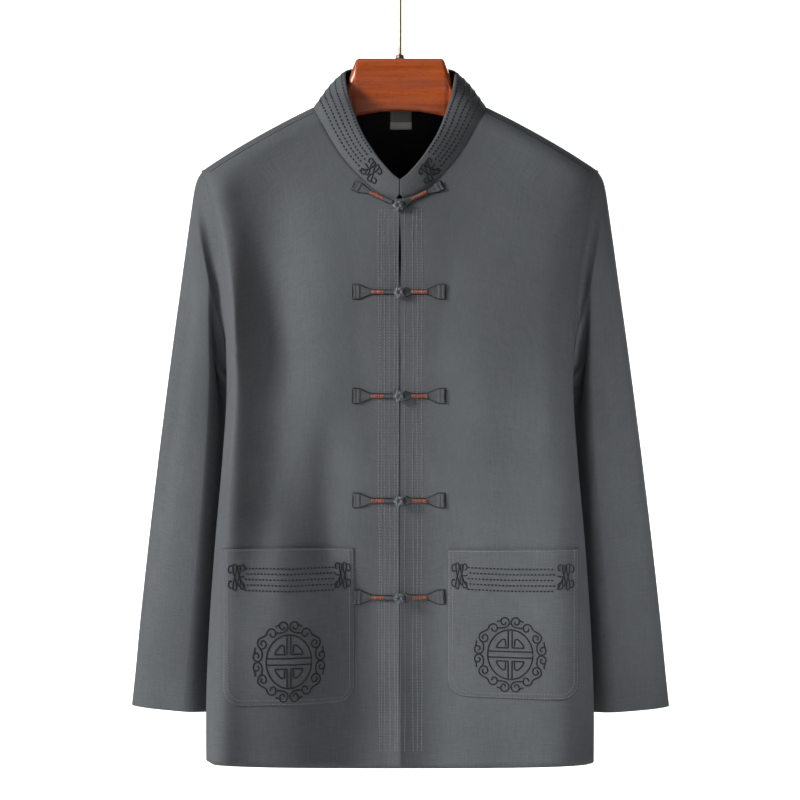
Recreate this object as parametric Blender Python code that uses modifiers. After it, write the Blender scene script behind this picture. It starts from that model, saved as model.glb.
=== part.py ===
"""A jacket with a standing collar and five frog fastenings, hung on a wooden hanger.

Metres, +Z up, front towards -Y. The origin is the inner crown of the hanger's hook.
Tables give millimetres and heights above the hem. Left is -X, as seen from the front.
"""

import bmesh
import bpy
import numpy as np

MM = 0.001
HEM_DROP = 926.0  # from the hook's inner crown down to the hem
CLOTH = 1.8  # wall of the body, sleeves and pockets
COLLAR_CLOTH = 2.4  # a stiffened double layer
SEAM = 0.3  # clearance between sewn pieces
SIDE_SEAM_TOP = 463.0
SIDE_SEAM_ANGLE = 100.0
ARMPIT_H = 460.0
SLEEVE_AROUND, SLEEVE_ALONG = 24, 19
NECK_COLUMNS, SHOULDER_COLUMNS = 7, 8  # of each half panel
COLLAR_SPLIT = 3  # collar columns to each column of the neckline
COLLAR_END = 0.6  # half the opening between the collar's ends

# Rows of a panel as shares of its height, close together where the shoulder rounds over.
PANEL_ROWS = np.concatenate(
    [
        np.linspace(0.0, 0.645, 13),
        [0.672, 0.685, 0.695, 0.715, 0.75, 0.80, 0.85, 0.90, 0.94, 0.97, 0.988, 0.997, 1.0],
    ]
)

# The body as horizontal sections, each a front and a back half-oval that meet at the widest point.
BODY = np.array(
    [
        (0, 220.0, -8, 64, 82, 2.30, 1.60),
        (60, 220.0, -8, 65, 83, 2.30, 1.58),
        (150, 216.5, -8, 67, 84, 2.30, 1.55),
        (250, 211.0, -8, 69, 85, 2.30, 1.55),
        (350, 206.0, -8, 70, 85, 2.35, 1.55),
        (420, 203.5, -7, 70, 84, 2.40, 1.62),
        (470, 203.0, -6, 70, 82, 2.45, 1.85),
        (530, 204.0, -4, 68, 78, 2.60, 2.30),
        (580, 209.0, -2, 66, 73, 2.80, 2.70),
        (630, 219.0, 0, 63, 68, 3.00, 3.00),
        (680, 229.0, 0, 61, 65, 3.00, 3.00),
        (760, 231.0, 0, 60, 64, 3.00, 3.00),
    ],
    dtype=[
        (name, float)
        for name in (
            "height",
            "half_width",
            "widest_y",
            "front_depth",
            "back_depth",
            "front_power",
            "back_power",
        )
    ],
)

# Where each panel ends at the side seam and round the armhole, in degrees round the section.
PANEL_EDGES = np.array(
    [
        (0, 100, 100),
        (400, 100, 100),
        (440, 100, 100),
        (460, 100, 100),
        (466, 94, 106),
        (480, 90, 112),
        (505, 87, 119),
        (540, 84, 124),
        (580, 80, 126),
        (620, 77, 124),
        (645, 76, 119),
        (662, 79, 111),
        (672, 86, 100),
        (760, 86, 100),
    ],
    dtype=[(name, float) for name in ("height", "front_end", "back_end")],
)

# The shoulder line, and how the cloth rounds over it.
NECK_SIDE_X = 99.0
NECK_SIDE_H = 744.0
SHOULDER_X = 226.0
SHOULDER_H = 672.0
ROUND_DROP = 28.0  # height over which the cloth rounds down from the shoulder line
FRONT_ROUND, FRONT_ROUND_TIP = 0.38, 0.80  # share of the depth reached there, at neck and tip
BACK_ROUND, BACK_ROUND_TIP = 0.55, 0.80
SLOPE_DROP, SLOPE_DROP_TIP = 220.0, 80.0  # height over which the rest of the depth is reached

FRONT_NECKLINE = np.array(
    [
        (0.0, 635.5),
        (18.0, 639.5),
        (30.0, 647.5),
        (41.5, 658.5),
        (53.0, 670.0),
        (65.0, 684.5),
        (77.0, 703.0),
        (88.5, 724.0),
        (99.0, 744.0),
    ],
    dtype=[("across", float), ("height", float)],
)
BACK_NECKLINE = np.array(
    [(0.0, 750.5), (30.0, 751.0), (60.0, 751.0), (80.0, 749.0), (92.0, 746.3), (99.0, 744.0)],
    dtype=[("across", float), ("height", float)],
)

# Soft troughs (positive depth) and ridges (negative) in the cloth: piece, place and size of each.
FOLD_COLUMNS = [("piece", "U12")] + [
    (name, float) for name in ("low_x", "high_x", "low_h", "high_h", "width", "depth")
]
BODY_FOLDS = np.array(
    [
        ("front_left", -152, -166, 40, 600, 30, 4.5),
        ("front_left", -88, -100, -90, 310, 34, 3.8),
        ("front_right", 94, 86, 110, 560, 32, -3.2),
        ("front_right", 150, 162, 60, 520, 30, 2.8),
        ("front_right", 44, 52, -80, 260, 26, 2.0),
        ("back", -132, -108, -60, 430, 30, 4.5),
        ("back", -62, -38, -80, 330, 30, -3.6),
        ("back", 10, -5, 60, 560, 28, 3.2),
        ("back", 84, 66, -90, 380, 30, 4.2),
        ("back", 144, 124, -20, 470, 28, -3.2),
    ],
    dtype=FOLD_COLUMNS,
)

# The sleeve as slanting rings, from below the armhole to the cuff: its outer and inner edge, the
# middle in depth, half the depth, and how far in from the outer edge its front stands out most.
SLEEVE = np.array(
    [
        (1, 231.5, 657, 204.5, 449, 17, 31, 0.50),
        (2, 237.0, 615, 203.0, 434, 27, 37, 0.46),
        (3, 245.5, 550, 190.0, 414, 39, 45, 0.40),
        (4, 255.5, 473, 174.0, 384, 49, 51, 0.36),
        (5, 267.5, 380, 169.5, 328, 52, 51, 0.36),
        (6, 282.0, 268, 172.5, 240, 50, 46, 0.38),
        (7, 295.5, 163, 179.5, 145, 46, 38, 0.42),
        (8, 304.5, 94, 185.5, 84, 42, 32.5, 0.45),
        (9, 309.0, 60, 187.5, 52.5, 40, 30, 0.46),
    ],
    dtype=[
        (name, float)
        for name in (
            "station",
            "outer_x",
            "outer_h",
            "inner_x",
            "inner_h",
            "middle_y",
            "half_depth",
            "front_share",
        )
    ],
)
SLEEVE_POWER = 2.2
SLEEVE_FRONT_INNER_POWER = 1.3  # the front's inner quarter lies flatter, clear of the body

# Folds of the sleeves, placed by degrees round the ring and by station.
SLEEVE_FOLDS = np.array(
    [
        ("sleeve_left", 62, 38, 2.2, 7.4, 14, 3.4),
        ("sleeve_left", 250, 225, 1.6, 6.2, 18, 4.0),
        ("sleeve_left", 300, 318, 4.0, 9.5, 15, -3.0),
        ("sleeve_right", 48, 66, 2.8, 8.2, 15, 3.0),
        ("sleeve_right", 235, 262, 1.8, 6.8, 18, 4.0),
        ("sleeve_right", 310, 292, 4.4, 9.4, 14, -3.0),
    ],
    dtype=FOLD_COLUMNS,
)

# The collar: where each station leaves the neckline, its point on the top edge, and its crown.
COLLAR = np.array(
    [
        (0.0, 0.6, 0.5, -28, 657.0, 0.6),
        (1.0, 18.0, 7.9, -28, 663.0, 1.2),
        (2.0, 30.0, 15.8, -27, 671.5, 1.6),
        (3.0, 41.5, 24.3, -26, 681.7, 1.8),
        (4.0, 53.0, 31.7, -25, 692.6, 2.2),
        (5.0, 65.0, 39.6, -22, 705.5, 2.6),
        (6.0, 77.0, 46.5, -20, 720.6, 3.2),
        (7.0, 88.5, 52.6, -17, 738.5, 4.0),
        (8.0, 99.0, 58.8, -14, 758.0, 4.8),
        (9.0, 92.0, 62.8, 2, 777.0, 5.4),
        (10.0, 76.0, 57.8, 17, 787.0, 4.4),
        (11.0, 50.0, 42.0, 29, 792.0, 3.0),
        (12.0, 25.0, 22.0, 36, 793.6, 2.4),
        (13.0, 0.0, 0.0, 38, 794.0, 2.2),
    ],
    dtype=[
        (name, float) for name in ("station", "seam_x", "top_x", "top_y", "top_h", "crown")
    ],
)

# Patch pockets: inner and outer side, mouth and foot, and the radius of the lower corners.
POCKETS = np.array(
    [
        ("pocket_left", -53.2, -197.5, 243.5, 244.5, 68.5, 21),
        ("pocket_right", 54.0, 199.5, 242.5, 244.5, 75.0, 21),
    ],
    dtype=[("piece", "U12")]
    + [(name, float) for name in ("inner_x", "outer_x", "inner_h", "outer_h", "foot_h", "corner")],
)
POCKET_GAP = 0.95  # from the panel to the pocket
POCKET_MOUTH_LIFT = 0.9
TRIM_GAP = 0.6  # from the panel to wings, cords and knots
LABEL_GAP = 0.5

# The five frogs: height of the knot, its place across, and how much the wings rise to each side.
FROGS = np.array(
    [
        (1, 627.5, -2.0, 24.0),
        (2, 530.0, -1.0, 0.5),
        (3, 414.5, -1.0, 0.0),
        (4, 298.5, -1.0, 0.5),
        (5, 189.5, -1.0, 1.0),
    ],
    dtype=[(name, float) for name in ("number", "height", "across", "rise")],
)
WING = np.array(
    [
        (31.5, 2.9, 3.0),
        (36.0, 3.8, 3.2),
        (42.0, 6.0, 3.2),
        (48.0, 8.8, 3.0),
        (51.0, 9.6, 2.4),
    ],
    dtype=[(name, float) for name in ("out", "half_height", "thickness")],
)
WING_NOTCH = 3.0  # depth of the fishtail
CORD_RADIUS = 2.9
CORD_FROM, CORD_TO = 8.0, 31.2
KNOT_HALF_WIDTH, KNOT_HALF_HEIGHT, KNOT_HALF_DEPTH = 7.4, 7.0, 5.6

LABEL_WIDTH, LABEL_HEIGHT, LABEL_TOP, LABEL_THICK = 25.0, 20.0, 747.5, 0.6
LABEL_X = 1.0

# The hanger's wood as upright sections across: top, foot, half thickness and squareness.
HANGER = np.array(
    [
        (0.0, 799.0, 739.6, 10.0, 3.4),
        (24.0, 799.0, 738.2, 10.0, 3.4),
        (44.0, 799.0, 734.0, 10.0, 3.3),
        (47.5, 797.0, 733.0, 10.0, 3.2),
        (51.0, 786.0, 731.5, 9.0, 2.8),
        (54.8, 772.0, 729.5, 8.6, 2.4),
        (64.0, 755.0, 725.0, 7.4, 2.0),
        (80.0, 741.5, 714.0, 7.4, 2.0),
        (98.0, 735.5, 704.0, 8.6, 2.0),
        (125.0, 726.0, 693.5, 12.5, 2.0),
        (155.0, 709.0, 677.0, 15.0, 2.0),
        (182.0, 693.6, 663.5, 17.0, 2.1),
        (198.0, 684.4, 657.5, 16.5, 2.1),
        (206.0, 678.0, 659.0, 12.5, 2.1),
        (209.0, 672.5, 664.0, 6.5, 2.0),
    ],
    dtype=[
        (name, float) for name in ("across", "top", "foot", "half_thickness", "squareness")
    ],
)

WIRE_RADIUS = 1.8
HOOK_RADIUS = 22.0  # of the wire's middle line
ROD_TOP = 872.0
FERRULE_RADIUS, FERRULE_HEIGHT = 5.2, 4.0

MATERIALS = {
    "suiting": ((0.088, 0.094, 0.100), 0.85, 0.0),
    "piping": ((0.36, 0.085, 0.045), 0.75, 0.0),
    "label_weave": ((0.06, 0.06, 0.06), 0.7, 0.0),
    "mahogany": ((0.26, 0.052, 0.016), 0.35, 0.0),
    "brass": ((0.52, 0.40, 0.22), 0.25, 1.0),
}


def clear_scene():
    for obj in list(bpy.data.objects):
        bpy.data.objects.remove(obj)


def material(name):
    found = bpy.data.materials.get(name)
    if found:
        return found
    color, roughness, metallic = MATERIALS[name]
    made = bpy.data.materials.new(name)
    made.use_nodes = True
    shader = made.node_tree.nodes["Principled BSDF"]
    shader.inputs["Base Color"].default_value = (*color, 1.0)
    shader.inputs["Roughness"].default_value = roughness
    shader.inputs["Metallic"].default_value = metallic
    made.diffuse_color = (*color, 1.0)
    return made


def add_mesh(name, points, faces, material_name, collection):
    """One closed object from points in millimetres above the hem and a list of faces."""
    world = (np.asarray(points, float) - (0.0, 0.0, HEM_DROP)) * MM
    mesh = bpy.data.meshes.new(name)
    mesh.from_pydata(world.tolist(), [], [list(map(int, face)) for face in faces])
    shape = bmesh.new()
    shape.from_mesh(mesh)
    bmesh.ops.recalc_face_normals(shape, faces=shape.faces)
    shape.to_mesh(mesh)
    shape.free()
    mesh.materials.append(material(material_name))
    obj = bpy.data.objects.new(name, mesh)
    collection.objects.link(obj)
    return obj


def smooth(t):
    t = np.clip(t, 0.0, 1.0)
    return t * t * (3.0 - 2.0 * t)


def through(knots, values, at):
    """A smooth curve through the values at the knots, which may each be an array of points."""
    knots = np.asarray(knots, float)
    values = np.asarray(values, float)
    at = np.clip(at, knots[0], knots[-1])
    slopes = np.gradient(values, knots, axis=0)
    i = np.clip(np.searchsorted(knots, at, side="right") - 1, 0, len(knots) - 2)
    step = knots[i + 1] - knots[i]
    part = (at - knots[i]) / step
    if values.ndim > 1:
        shape = np.shape(at) + (1,) * (values.ndim - 1)
        step = np.reshape(step, shape)
        part = np.reshape(part, shape)
    rest = 1.0 - part
    ends = values[i] * rest**2 * (1 + 2 * part) + values[i + 1] * part**2 * (1 + 2 * rest)
    return ends + step * part * rest * (slopes[i] * rest - slopes[i + 1] * part)


def column(table, name, at):
    return through(table[table.dtype.names[0]], table[name], at)


def unit(vectors):
    return vectors / np.maximum(np.linalg.norm(vectors, axis=-1, keepdims=True), 1e-9)


def shoulder_line(x):
    """Height of the shoulder line, which runs on inside the neck as a guide."""
    fall = (NECK_SIDE_H - SHOULDER_H) / (SHOULDER_X - NECK_SIDE_X)
    return NECK_SIDE_H - (np.abs(x) - NECK_SIDE_X) * fall


def folds_of(table, piece, across, height):
    """How far the piece's troughs and ridges move the cloth inwards."""
    total = np.zeros(np.broadcast_shapes(np.shape(across), np.shape(height)))
    for fold in table[table["piece"] == piece]:
        up = (height - fold["low_h"]) / (fold["high_h"] - fold["low_h"])
        middle = fold["low_x"] + (fold["high_x"] - fold["low_x"]) * up
        fade = smooth(4 * up) * smooth(2.2 * (1 - up))
        total += fold["depth"] * fade * np.exp(-(((across - middle) / fold["width"]) ** 2))
    return total


def body_x(angle, height):
    """Distance from the middle of the point at this angle round the section."""
    front = np.cos(angle) >= 0
    power = np.where(
        front, column(BODY, "front_power", height), column(BODY, "back_power", height)
    )
    return column(BODY, "half_width", height) * np.sin(angle) ** (2.0 / power)


def body_point(piece, side, angle, height):
    """A point of the jacket's outer face. The angle runs from 0 in front to pi behind."""
    x = body_x(angle, height)
    front = np.cos(angle) >= 0
    power = np.where(
        front, column(BODY, "front_power", height), column(BODY, "back_power", height)
    )
    depth = np.where(
        front, -column(BODY, "front_depth", height), column(BODY, "back_depth", height)
    )
    y = column(BODY, "widest_y", height) + depth * np.abs(np.cos(angle)) ** (2.0 / power)
    out = np.minimum(x / 215.0, 1.0) ** 2
    near = np.where(
        front,
        FRONT_ROUND + (FRONT_ROUND_TIP - FRONT_ROUND) * out,
        BACK_ROUND + (BACK_ROUND_TIP - BACK_ROUND) * out,
    )
    slope_drop = SLOPE_DROP + (SLOPE_DROP_TIP - SLOPE_DROP) * out
    below = np.maximum(shoulder_line(x) - height, 0.0)
    rounded = np.sqrt(np.clip(1.0 - (1.0 - np.minimum(below / ROUND_DROP, 1.0)) ** 2, 0.0, 1.0))
    y = y * (near * rounded + (1.0 - near) * smooth(below / slope_drop))
    inward = folds_of(BODY_FOLDS, piece, side * x, height)
    y = y + np.where(front, inward, -inward)
    return np.stack([side * x, y, height + 0.0 * x], axis=-1)


def solve(low, high, gap):
    """The value between low and high where gap(value) turns from positive to negative."""
    for _ in range(44):
        middle = 0.5 * (low + high)
        over = gap(middle) > 0
        low = np.where(over, middle, low)
        high = np.where(over, high, middle)
    return 0.5 * (low + high)


def angle_at(x, height, back):
    """Angle round the section of the front or back at this distance from the middle."""
    start = np.full(np.shape(x), np.pi if back else 0.0)
    end = np.full(np.shape(x), np.pi / 2)
    return solve(start, end, lambda angle: np.abs(x) - body_x(angle, height))


def normals_of(points, wrap=False):
    """Unit normals of a grid of points, from the differences between its neighbours."""
    if wrap:
        wide = np.concatenate([points[:, -1:], points, points[:, :1]], axis=1)
        across = np.gradient(wide, axis=1)[:, 1:-1]
    else:
        across = np.gradient(points, axis=1)
    return unit(np.cross(across, np.gradient(points, axis=0)))


def grid_faces(index):
    """Quads between the neighbours of a grid of indices."""
    corners = (index[:-1, :-1], index[:-1, 1:], index[1:, 1:], index[1:, :-1])
    return np.stack(corners, axis=-1).reshape(-1, 4)


def wall(outer, inward, thickness, wrap=False):
    """Points and faces of a closed wall: the outer face, and the inner one moved inwards."""
    rows, cols = outer.shape[:2]
    inner = outer + inward * thickness
    points = np.concatenate([outer.reshape(-1, 3), inner.reshape(-1, 3)])
    index = np.arange(rows * cols).reshape(rows, cols)
    if wrap:
        index = np.hstack([index, index[:, :1]])
    far = index + rows * cols
    rims = [(index[0], far[0]), (far[-1], index[-1])]
    if not wrap:
        rims += [(far[:, 0], index[:, 0]), (index[:, -1], far[:, -1])]
    faces = [grid_faces(index), grid_faces(far)[:, ::-1]]
    faces += [grid_faces(np.stack(rim)) for rim in rims]
    return points, np.concatenate(faces)


def edge_angle(name, height):
    """Where the front or back ends at this height, in degrees round the section."""
    end = column(PANEL_EDGES, name, height)
    if name == "back_end":
        return np.maximum(end, SIDE_SEAM_ANGLE)
    return np.minimum(end, SIDE_SEAM_ANGLE)


def panel_grid(piece, side, back):
    """Outer points of one half panel, from the hem up, and from the middle to the side."""
    neckline = BACK_NECKLINE if back else FRONT_NECKLINE
    start = np.pi if back else 0.0
    name = "back_end" if back else "front_end"

    def angle(part, height):
        end = np.radians(edge_angle(name, height))
        return start + (end - start) * part

    def above(part, height):
        x = body_x(angle(part, height), height)
        neck = through(neckline["across"], neckline["height"], x)
        return np.where(x < NECK_SIDE_X, neck, shoulder_line(x)) - height

    corner = solve(
        np.array(0.0),
        np.array(1.0),
        lambda part: NECK_SIDE_X - body_x(angle(part, NECK_SIDE_H), NECK_SIDE_H),
    )
    parts = np.concatenate([
        corner * np.linspace(0.0, 1.0, NECK_COLUMNS),
        corner + (1 - corner) * np.linspace(0.0, 1.0, SHOULDER_COLUMNS + 1)[1:],
    ])
    tops = solve(np.full(parts.shape, 500.0), np.full(parts.shape, 760.0),
                 lambda height: above(parts, height))
    tops[NECK_COLUMNS - 1] = NECK_SIDE_H
    tops[-1] = SHOULDER_H
    heights = PANEL_ROWS[:, None] * tops[None, :]
    across = np.broadcast_to(parts, heights.shape)
    points = body_point(piece, side, angle(across, heights), heights)
    points[:, -1, 0] = side * np.minimum(np.abs(points[:, -1, 0]), SHOULDER_X)
    points[-1, -1] = (side * SHOULDER_X, 0.0, SHOULDER_H)
    return points


def panel_inward(points, side, back):
    """Inward directions of a half panel, squared up where it meets its neighbours."""
    inward = normals_of(points)
    row, col = len(points) // 3, points.shape[1] // 3
    if inward[row, col, 1] * (-1.0 if back else 1.0) < 0:
        inward = -inward
    inward[:, 0, 0] = 0.0
    inward[0, :, 2] = 0.0
    below_arm = points[:, -1, 2] < SIDE_SEAM_TOP
    inward[below_arm, -1] = (-side, 0.0, 0.0)
    shoulder = np.abs(points[-1, :, 0]) > NECK_SIDE_X - 0.5
    inward[-1, ~shoulder, 2] = 0.0
    inward[-1, shoulder] = (-side * 0.49, 0.0, -0.87)
    return unit(inward)


def fronts(collection):
    """Both front panels. Returns the neckline of each, with its inward directions."""
    made = {}
    for side, piece in ((-1, "front_left"), (1, "front_right")):
        points = panel_grid(piece, side, False)
        inward = panel_inward(points, side, False)
        points[:, 0, 0] = side * SEAM / 2
        points[..., 1] -= SEAM / 2
        made[side] = points[-1, :NECK_COLUMNS], inward[-1, :NECK_COLUMNS]
        add_mesh(piece, *wall(points, inward, CLOTH), "suiting", collection)
    return made


def back(collection):
    """The back panel. Returns the neckline of each half, with its inward directions."""
    halves = []
    for side in (-1, 1):
        points = panel_grid("back", side, True)
        halves.append((points, panel_inward(points, side, True)))
    outer = np.hstack([halves[0][0][:, ::-1], halves[1][0][:, 1:]])
    inward = np.hstack([halves[0][1][:, ::-1], halves[1][1][:, 1:]])
    outer[..., 1] += SEAM / 2
    add_mesh("back", *wall(outer, inward, CLOTH), "suiting", collection)
    lift = (0.0, SEAM / 2, 0.0)
    return {
        side: (points[-1, :NECK_COLUMNS] + lift, turned[-1, :NECK_COLUMNS])
        for side, (points, turned) in zip((-1, 1), halves)
    }


def armhole(angle, side):
    """The line round the armhole, from the shoulder point down in front and up behind."""
    height = 0.5 * (SHOULDER_H + ARMPIT_H) + 0.5 * (SHOULDER_H - ARMPIT_H) * np.cos(angle)
    behind = angle > np.pi
    end = np.where(behind, edge_angle("back_end", height), edge_angle("front_end", height))
    line = body_point("", side, np.radians(end), height)
    line[..., 0] = side * np.minimum(np.abs(line[..., 0]), SHOULDER_X)
    line[0] = (side * SHOULDER_X, 0.0, SHOULDER_H)
    return line


def power_cos(angle, power):
    return np.sign(np.cos(angle)) * np.abs(np.cos(angle)) ** (2.0 / power)


def power_sin(angle, power):
    return np.sign(np.sin(angle)) * np.abs(np.sin(angle)) ** (2.0 / power)


def sleeve_rings(side):
    """Outer points of a sleeve: rings from the armhole to the cuff."""
    angle = np.linspace(0.0, 2 * np.pi, SLEEVE_AROUND, endpoint=False)
    stations = [armhole(angle, side) + (side * 3 * SEAM, 0.0, 0.0)]
    front_inner = (np.cos(angle) < 0) & (np.sin(angle) > 0)
    power = np.where(front_inner, SLEEVE_FRONT_INNER_POWER, SLEEVE_POWER)
    for row in SLEEVE:
        outer = np.array([side * row["outer_x"], 0.0, row["outer_h"]])
        inner = np.array([side * row["inner_x"], 0.0, row["inner_h"]])
        share = np.where(np.sin(angle) > 0, row["front_share"], 0.5)
        reach = power_cos(angle, power)
        part = np.where(reach > 0, share * (1.0 - reach), share - (1.0 - share) * reach)
        ring = outer + (inner - outer) * part[:, None]
        ring[:, 1] = row["middle_y"] - row["half_depth"] * power_sin(angle, power)
        stations.append(ring)
    stations = np.array(stations)
    spots = np.linspace(0.0, len(stations) - 1.0, SLEEVE_ALONG)
    return through(np.arange(len(stations)), stations, spots), angle, spots


def sleeves(collection):
    for side, piece in ((-1, "sleeve_left"), (1, "sleeve_right")):
        rings, angle, spots = sleeve_rings(side)
        inward = normals_of(rings, wrap=True)
        centre = rings.mean(axis=1, keepdims=True)
        if np.sum(inward[5] * (centre[5] - rings[5])) < 0:
            inward = -inward
        depth = folds_of(SLEEVE_FOLDS, piece, np.degrees(angle)[None, :], spots[:, None])
        rings = rings + inward * depth[..., None]
        inward[0] = unit(centre[0] - rings[0]) * (0.0, 1.0, 1.0)
        inward[-1, :, 2] = 0.0
        add_mesh(piece, *wall(rings, unit(inward), CLOTH, wrap=True), "suiting", collection)


def split(points, times):
    """Each stretch between neighbouring points in that many equal parts."""
    spots = np.linspace(0.0, len(points) - 1.0, (len(points) - 1) * times + 1)
    i = np.minimum(spots.astype(int), len(points) - 2)
    part = (spots - i)[:, None]
    return points[i] * (1 - part) + points[i + 1] * part


def collar_half(side, front_neck, back_neck):
    """Foot points, their inward directions and the stations, from the front end to the back."""
    to_neck = np.interp(np.abs(front_neck[0][:, 0]), COLLAR["seam_x"][:9], COLLAR["station"][:9])
    to_back = np.interp(
        -np.abs(back_neck[0][::-1, 0]), -COLLAR["seam_x"][8:], COLLAR["station"][8:]
    )
    front_foot = front_neck[0] + (-side * 1.2 * SEAM, 0.0, 1.3 * SEAM)
    foot = np.concatenate([front_foot, back_neck[0][-2::-1] + (0.0, 0.0, 2.6 * SEAM)])
    foot[0, 0] = side * COLLAR_END
    inward = np.concatenate([front_neck[1], back_neck[1][-2::-1]])
    stations = np.concatenate([to_neck, to_back[1:]])
    rows = [split(values, COLLAR_SPLIT) for values in (foot, inward, stations[:, None])]
    return rows[0], rows[1], rows[2][:, 0]


def collar(front_necks, back_necks, collection):
    up = np.linspace(0.0, 1.0, 5)[:, None, None]
    outers, feet = [], []
    for side in (-1, 1):
        foot, inward, stations = collar_half(side, front_necks[side], back_necks[side])
        top = np.stack([column(COLLAR, name, stations) for name in ("top_x", "top_y", "top_h")], axis=-1)
        top[:, 0] *= side
        top[0, 0] = side * COLLAR_END
        foot[-1, 0], top[-1, 0] = 0.0, 0.0
        points = foot + (top - foot) * up
        out = unit(np.cross(np.gradient(points, axis=1), top - foot)) * -side
        out[:, 0, 0] = 0.0
        crown = column(COLLAR, "crown", stations)[None, :, None]
        outers.append(points + unit(out) * crown * 4.0 * up * (1.0 - up))
        feet.append(inward)
    outer = np.hstack([outers[0], outers[1][:, -2::-1]])
    inward = normals_of(outer)
    if inward[2, outer.shape[1] // 2, 1] > 0:
        inward = -inward
    inward[:, 0, 0] = 0.0
    inward[:, -1, 0] = 0.0
    inward = unit(inward)
    inward[0] = np.concatenate([feet[0], feet[1][-2::-1]])
    add_mesh("collar", *wall(outer, inward, COLLAR_CLOTH), "suiting", collection)


def front_surface(x, height):
    """A point of the front panels' outer face, and its outward direction."""
    side = np.where(x < 0, -1.0, 1.0)
    piece = "front_left" if np.mean(x) < 0 else "front_right"

    def at(across, up):
        angle = angle_at(across, up, False)
        point = body_point(piece, side, angle, up)
        return point - (0.0, SEAM / 2, 0.0)

    here = at(x, height)
    along = at(x + side * -1.5, height) - here
    upward = at(x, height - 1.5) - here
    out = unit(np.cross(along, upward))
    return here, np.where(out[..., 1:2] > 0, -out, out)


def pockets(collection):
    for row in POCKETS:
        up = np.concatenate([[0.0, 0.012, 0.035, 0.07, 0.12], np.linspace(0.2, 1.0, 8)])[:, None]
        across = np.linspace(0.0, 1.0, 11)[None, :]
        mouth = row["inner_h"] + (row["outer_h"] - row["inner_h"]) * across
        height = row["foot_h"] + (mouth - row["foot_h"]) * up
        rise = np.clip((height - row["foot_h"]) / row["corner"], 0.0, 1.0)
        inset = row["corner"] * (1.0 - np.sqrt(1.0 - (1.0 - rise) ** 2))
        inset *= np.sign(row["outer_x"] - row["inner_x"])
        start, end = row["inner_x"] + inset, row["outer_x"] - inset
        here, out = front_surface(start + (end - start) * across, height)
        lift = POCKET_GAP + POCKET_MOUTH_LIFT * smooth((up - 0.85) / 0.15)
        outer = here + out * (lift[..., None] + CLOTH)
        add_mesh(str(row["piece"]), *wall(outer, -out, CLOTH), "suiting", collection)


def label(collection):
    """The label inside the back neck, on the lining side of the back panel."""
    across = LABEL_X + LABEL_WIDTH * np.linspace(-0.5, 0.5, 5)[None, :]
    height = LABEL_TOP - LABEL_HEIGHT * np.linspace(1.0, 0.0, 4)[:, None] + 0.0 * across
    angle = angle_at(np.abs(across) + 0.0 * height, height, True)
    points = body_point("back", np.where(across < 0, -1.0, 1.0), angle, height)
    points[..., 1] -= CLOTH + LABEL_GAP
    inward = np.broadcast_to(np.array([0.0, -1.0, 0.0]), points.shape)
    add_mesh("label", *wall(points, inward, LABEL_THICK), "label_weave", collection)


def loft(centres, first, second, halves, power, sides):
    """Rings of an oval section along a line: points, and faces with an end cap at each end."""
    angle = np.linspace(0.0, 2 * np.pi, sides, endpoint=False)
    power = np.broadcast_to(power, len(centres))[:, None]
    c, s = power_cos(angle, power)[..., None], power_sin(angle, power)[..., None]
    halves = np.asarray(halves, float)
    rings = (centres[:, None] + first[:, None] * c * halves[:, 0, None, None]
             + second[:, None] * s * halves[:, 1, None, None])
    index = np.arange(rings.shape[0] * sides).reshape(-1, sides)
    index = np.hstack([index, index[:, :1]])
    faces = [list(face) for face in grid_faces(index)]
    faces += [list(index[0, -2::-1]), list(index[-1, :-1])]
    return rings, faces


def frog_line(frog, side, out):
    """Points on the front at these distances from the knot, with up and outward directions."""
    out = np.asarray(out, float)
    x = frog["across"] + side * out
    height = frog["height"] + frog["rise"] * out / WING["out"][-1]
    flat = np.where(side * x < 1.0, side * 1.0, x)
    here, outward = front_surface(flat, height)
    here[:, 0] = x
    along = unit(np.gradient(here, axis=0))
    up = unit(np.cross(along, outward)) * side
    up = np.where(up[:, 2:] < 0, -up, up)
    return here, up, outward


def frogs(collection):
    for frog in FROGS:
        stem = f"frog_{int(frog['number'])}"
        for side, word in ((-1, "left"), (1, "right")):
            here, up, outward = frog_line(frog, side, WING["out"])
            half = WING["thickness"] / 2
            centres = here + outward * (half + TRIM_GAP)[:, None]
            sizes = np.stack([WING["half_height"], half], axis=-1)
            rings, faces = loft(centres, up, outward, sizes, 3.0, 10)
            reach = np.abs(power_cos(np.linspace(0, 2 * np.pi, 10, endpoint=False), 3.0))
            rings[-1, :, 0] -= side * WING_NOTCH * (1.0 - reach)
            name = f"{stem}_wing_{word}"
            add_mesh(name, rings.reshape(-1, 3), faces, "suiting", collection)
            here, up, outward = frog_line(frog, side, np.linspace(CORD_FROM, CORD_TO, 6))
            centres = here + outward * (CORD_RADIUS + TRIM_GAP)
            sizes = np.full((6, 2), CORD_RADIUS)
            rings, faces = loft(centres, up, outward, sizes, 2.0, 8)
            name = f"{stem}_cord_{word}"
            add_mesh(name, rings.reshape(-1, 3), faces, "piping", collection)
        here, _, _ = frog_line(frog, 1, [0.0, 1.0])
        centre = here[0] - (0.0, KNOT_HALF_DEPTH + TRIM_GAP, 0.0)
        ball = bmesh.new()
        bmesh.ops.create_uvsphere(ball, u_segments=12, v_segments=8, radius=1.0)
        points = np.array([vertex.co[:] for vertex in ball.verts])
        faces = [[vertex.index for vertex in face.verts] for face in ball.faces]
        ball.free()
        points = points * (KNOT_HALF_WIDTH, KNOT_HALF_DEPTH, KNOT_HALF_HEIGHT) + centre
        add_mesh(f"{stem}_knot", points, faces, "suiting", collection)


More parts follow.
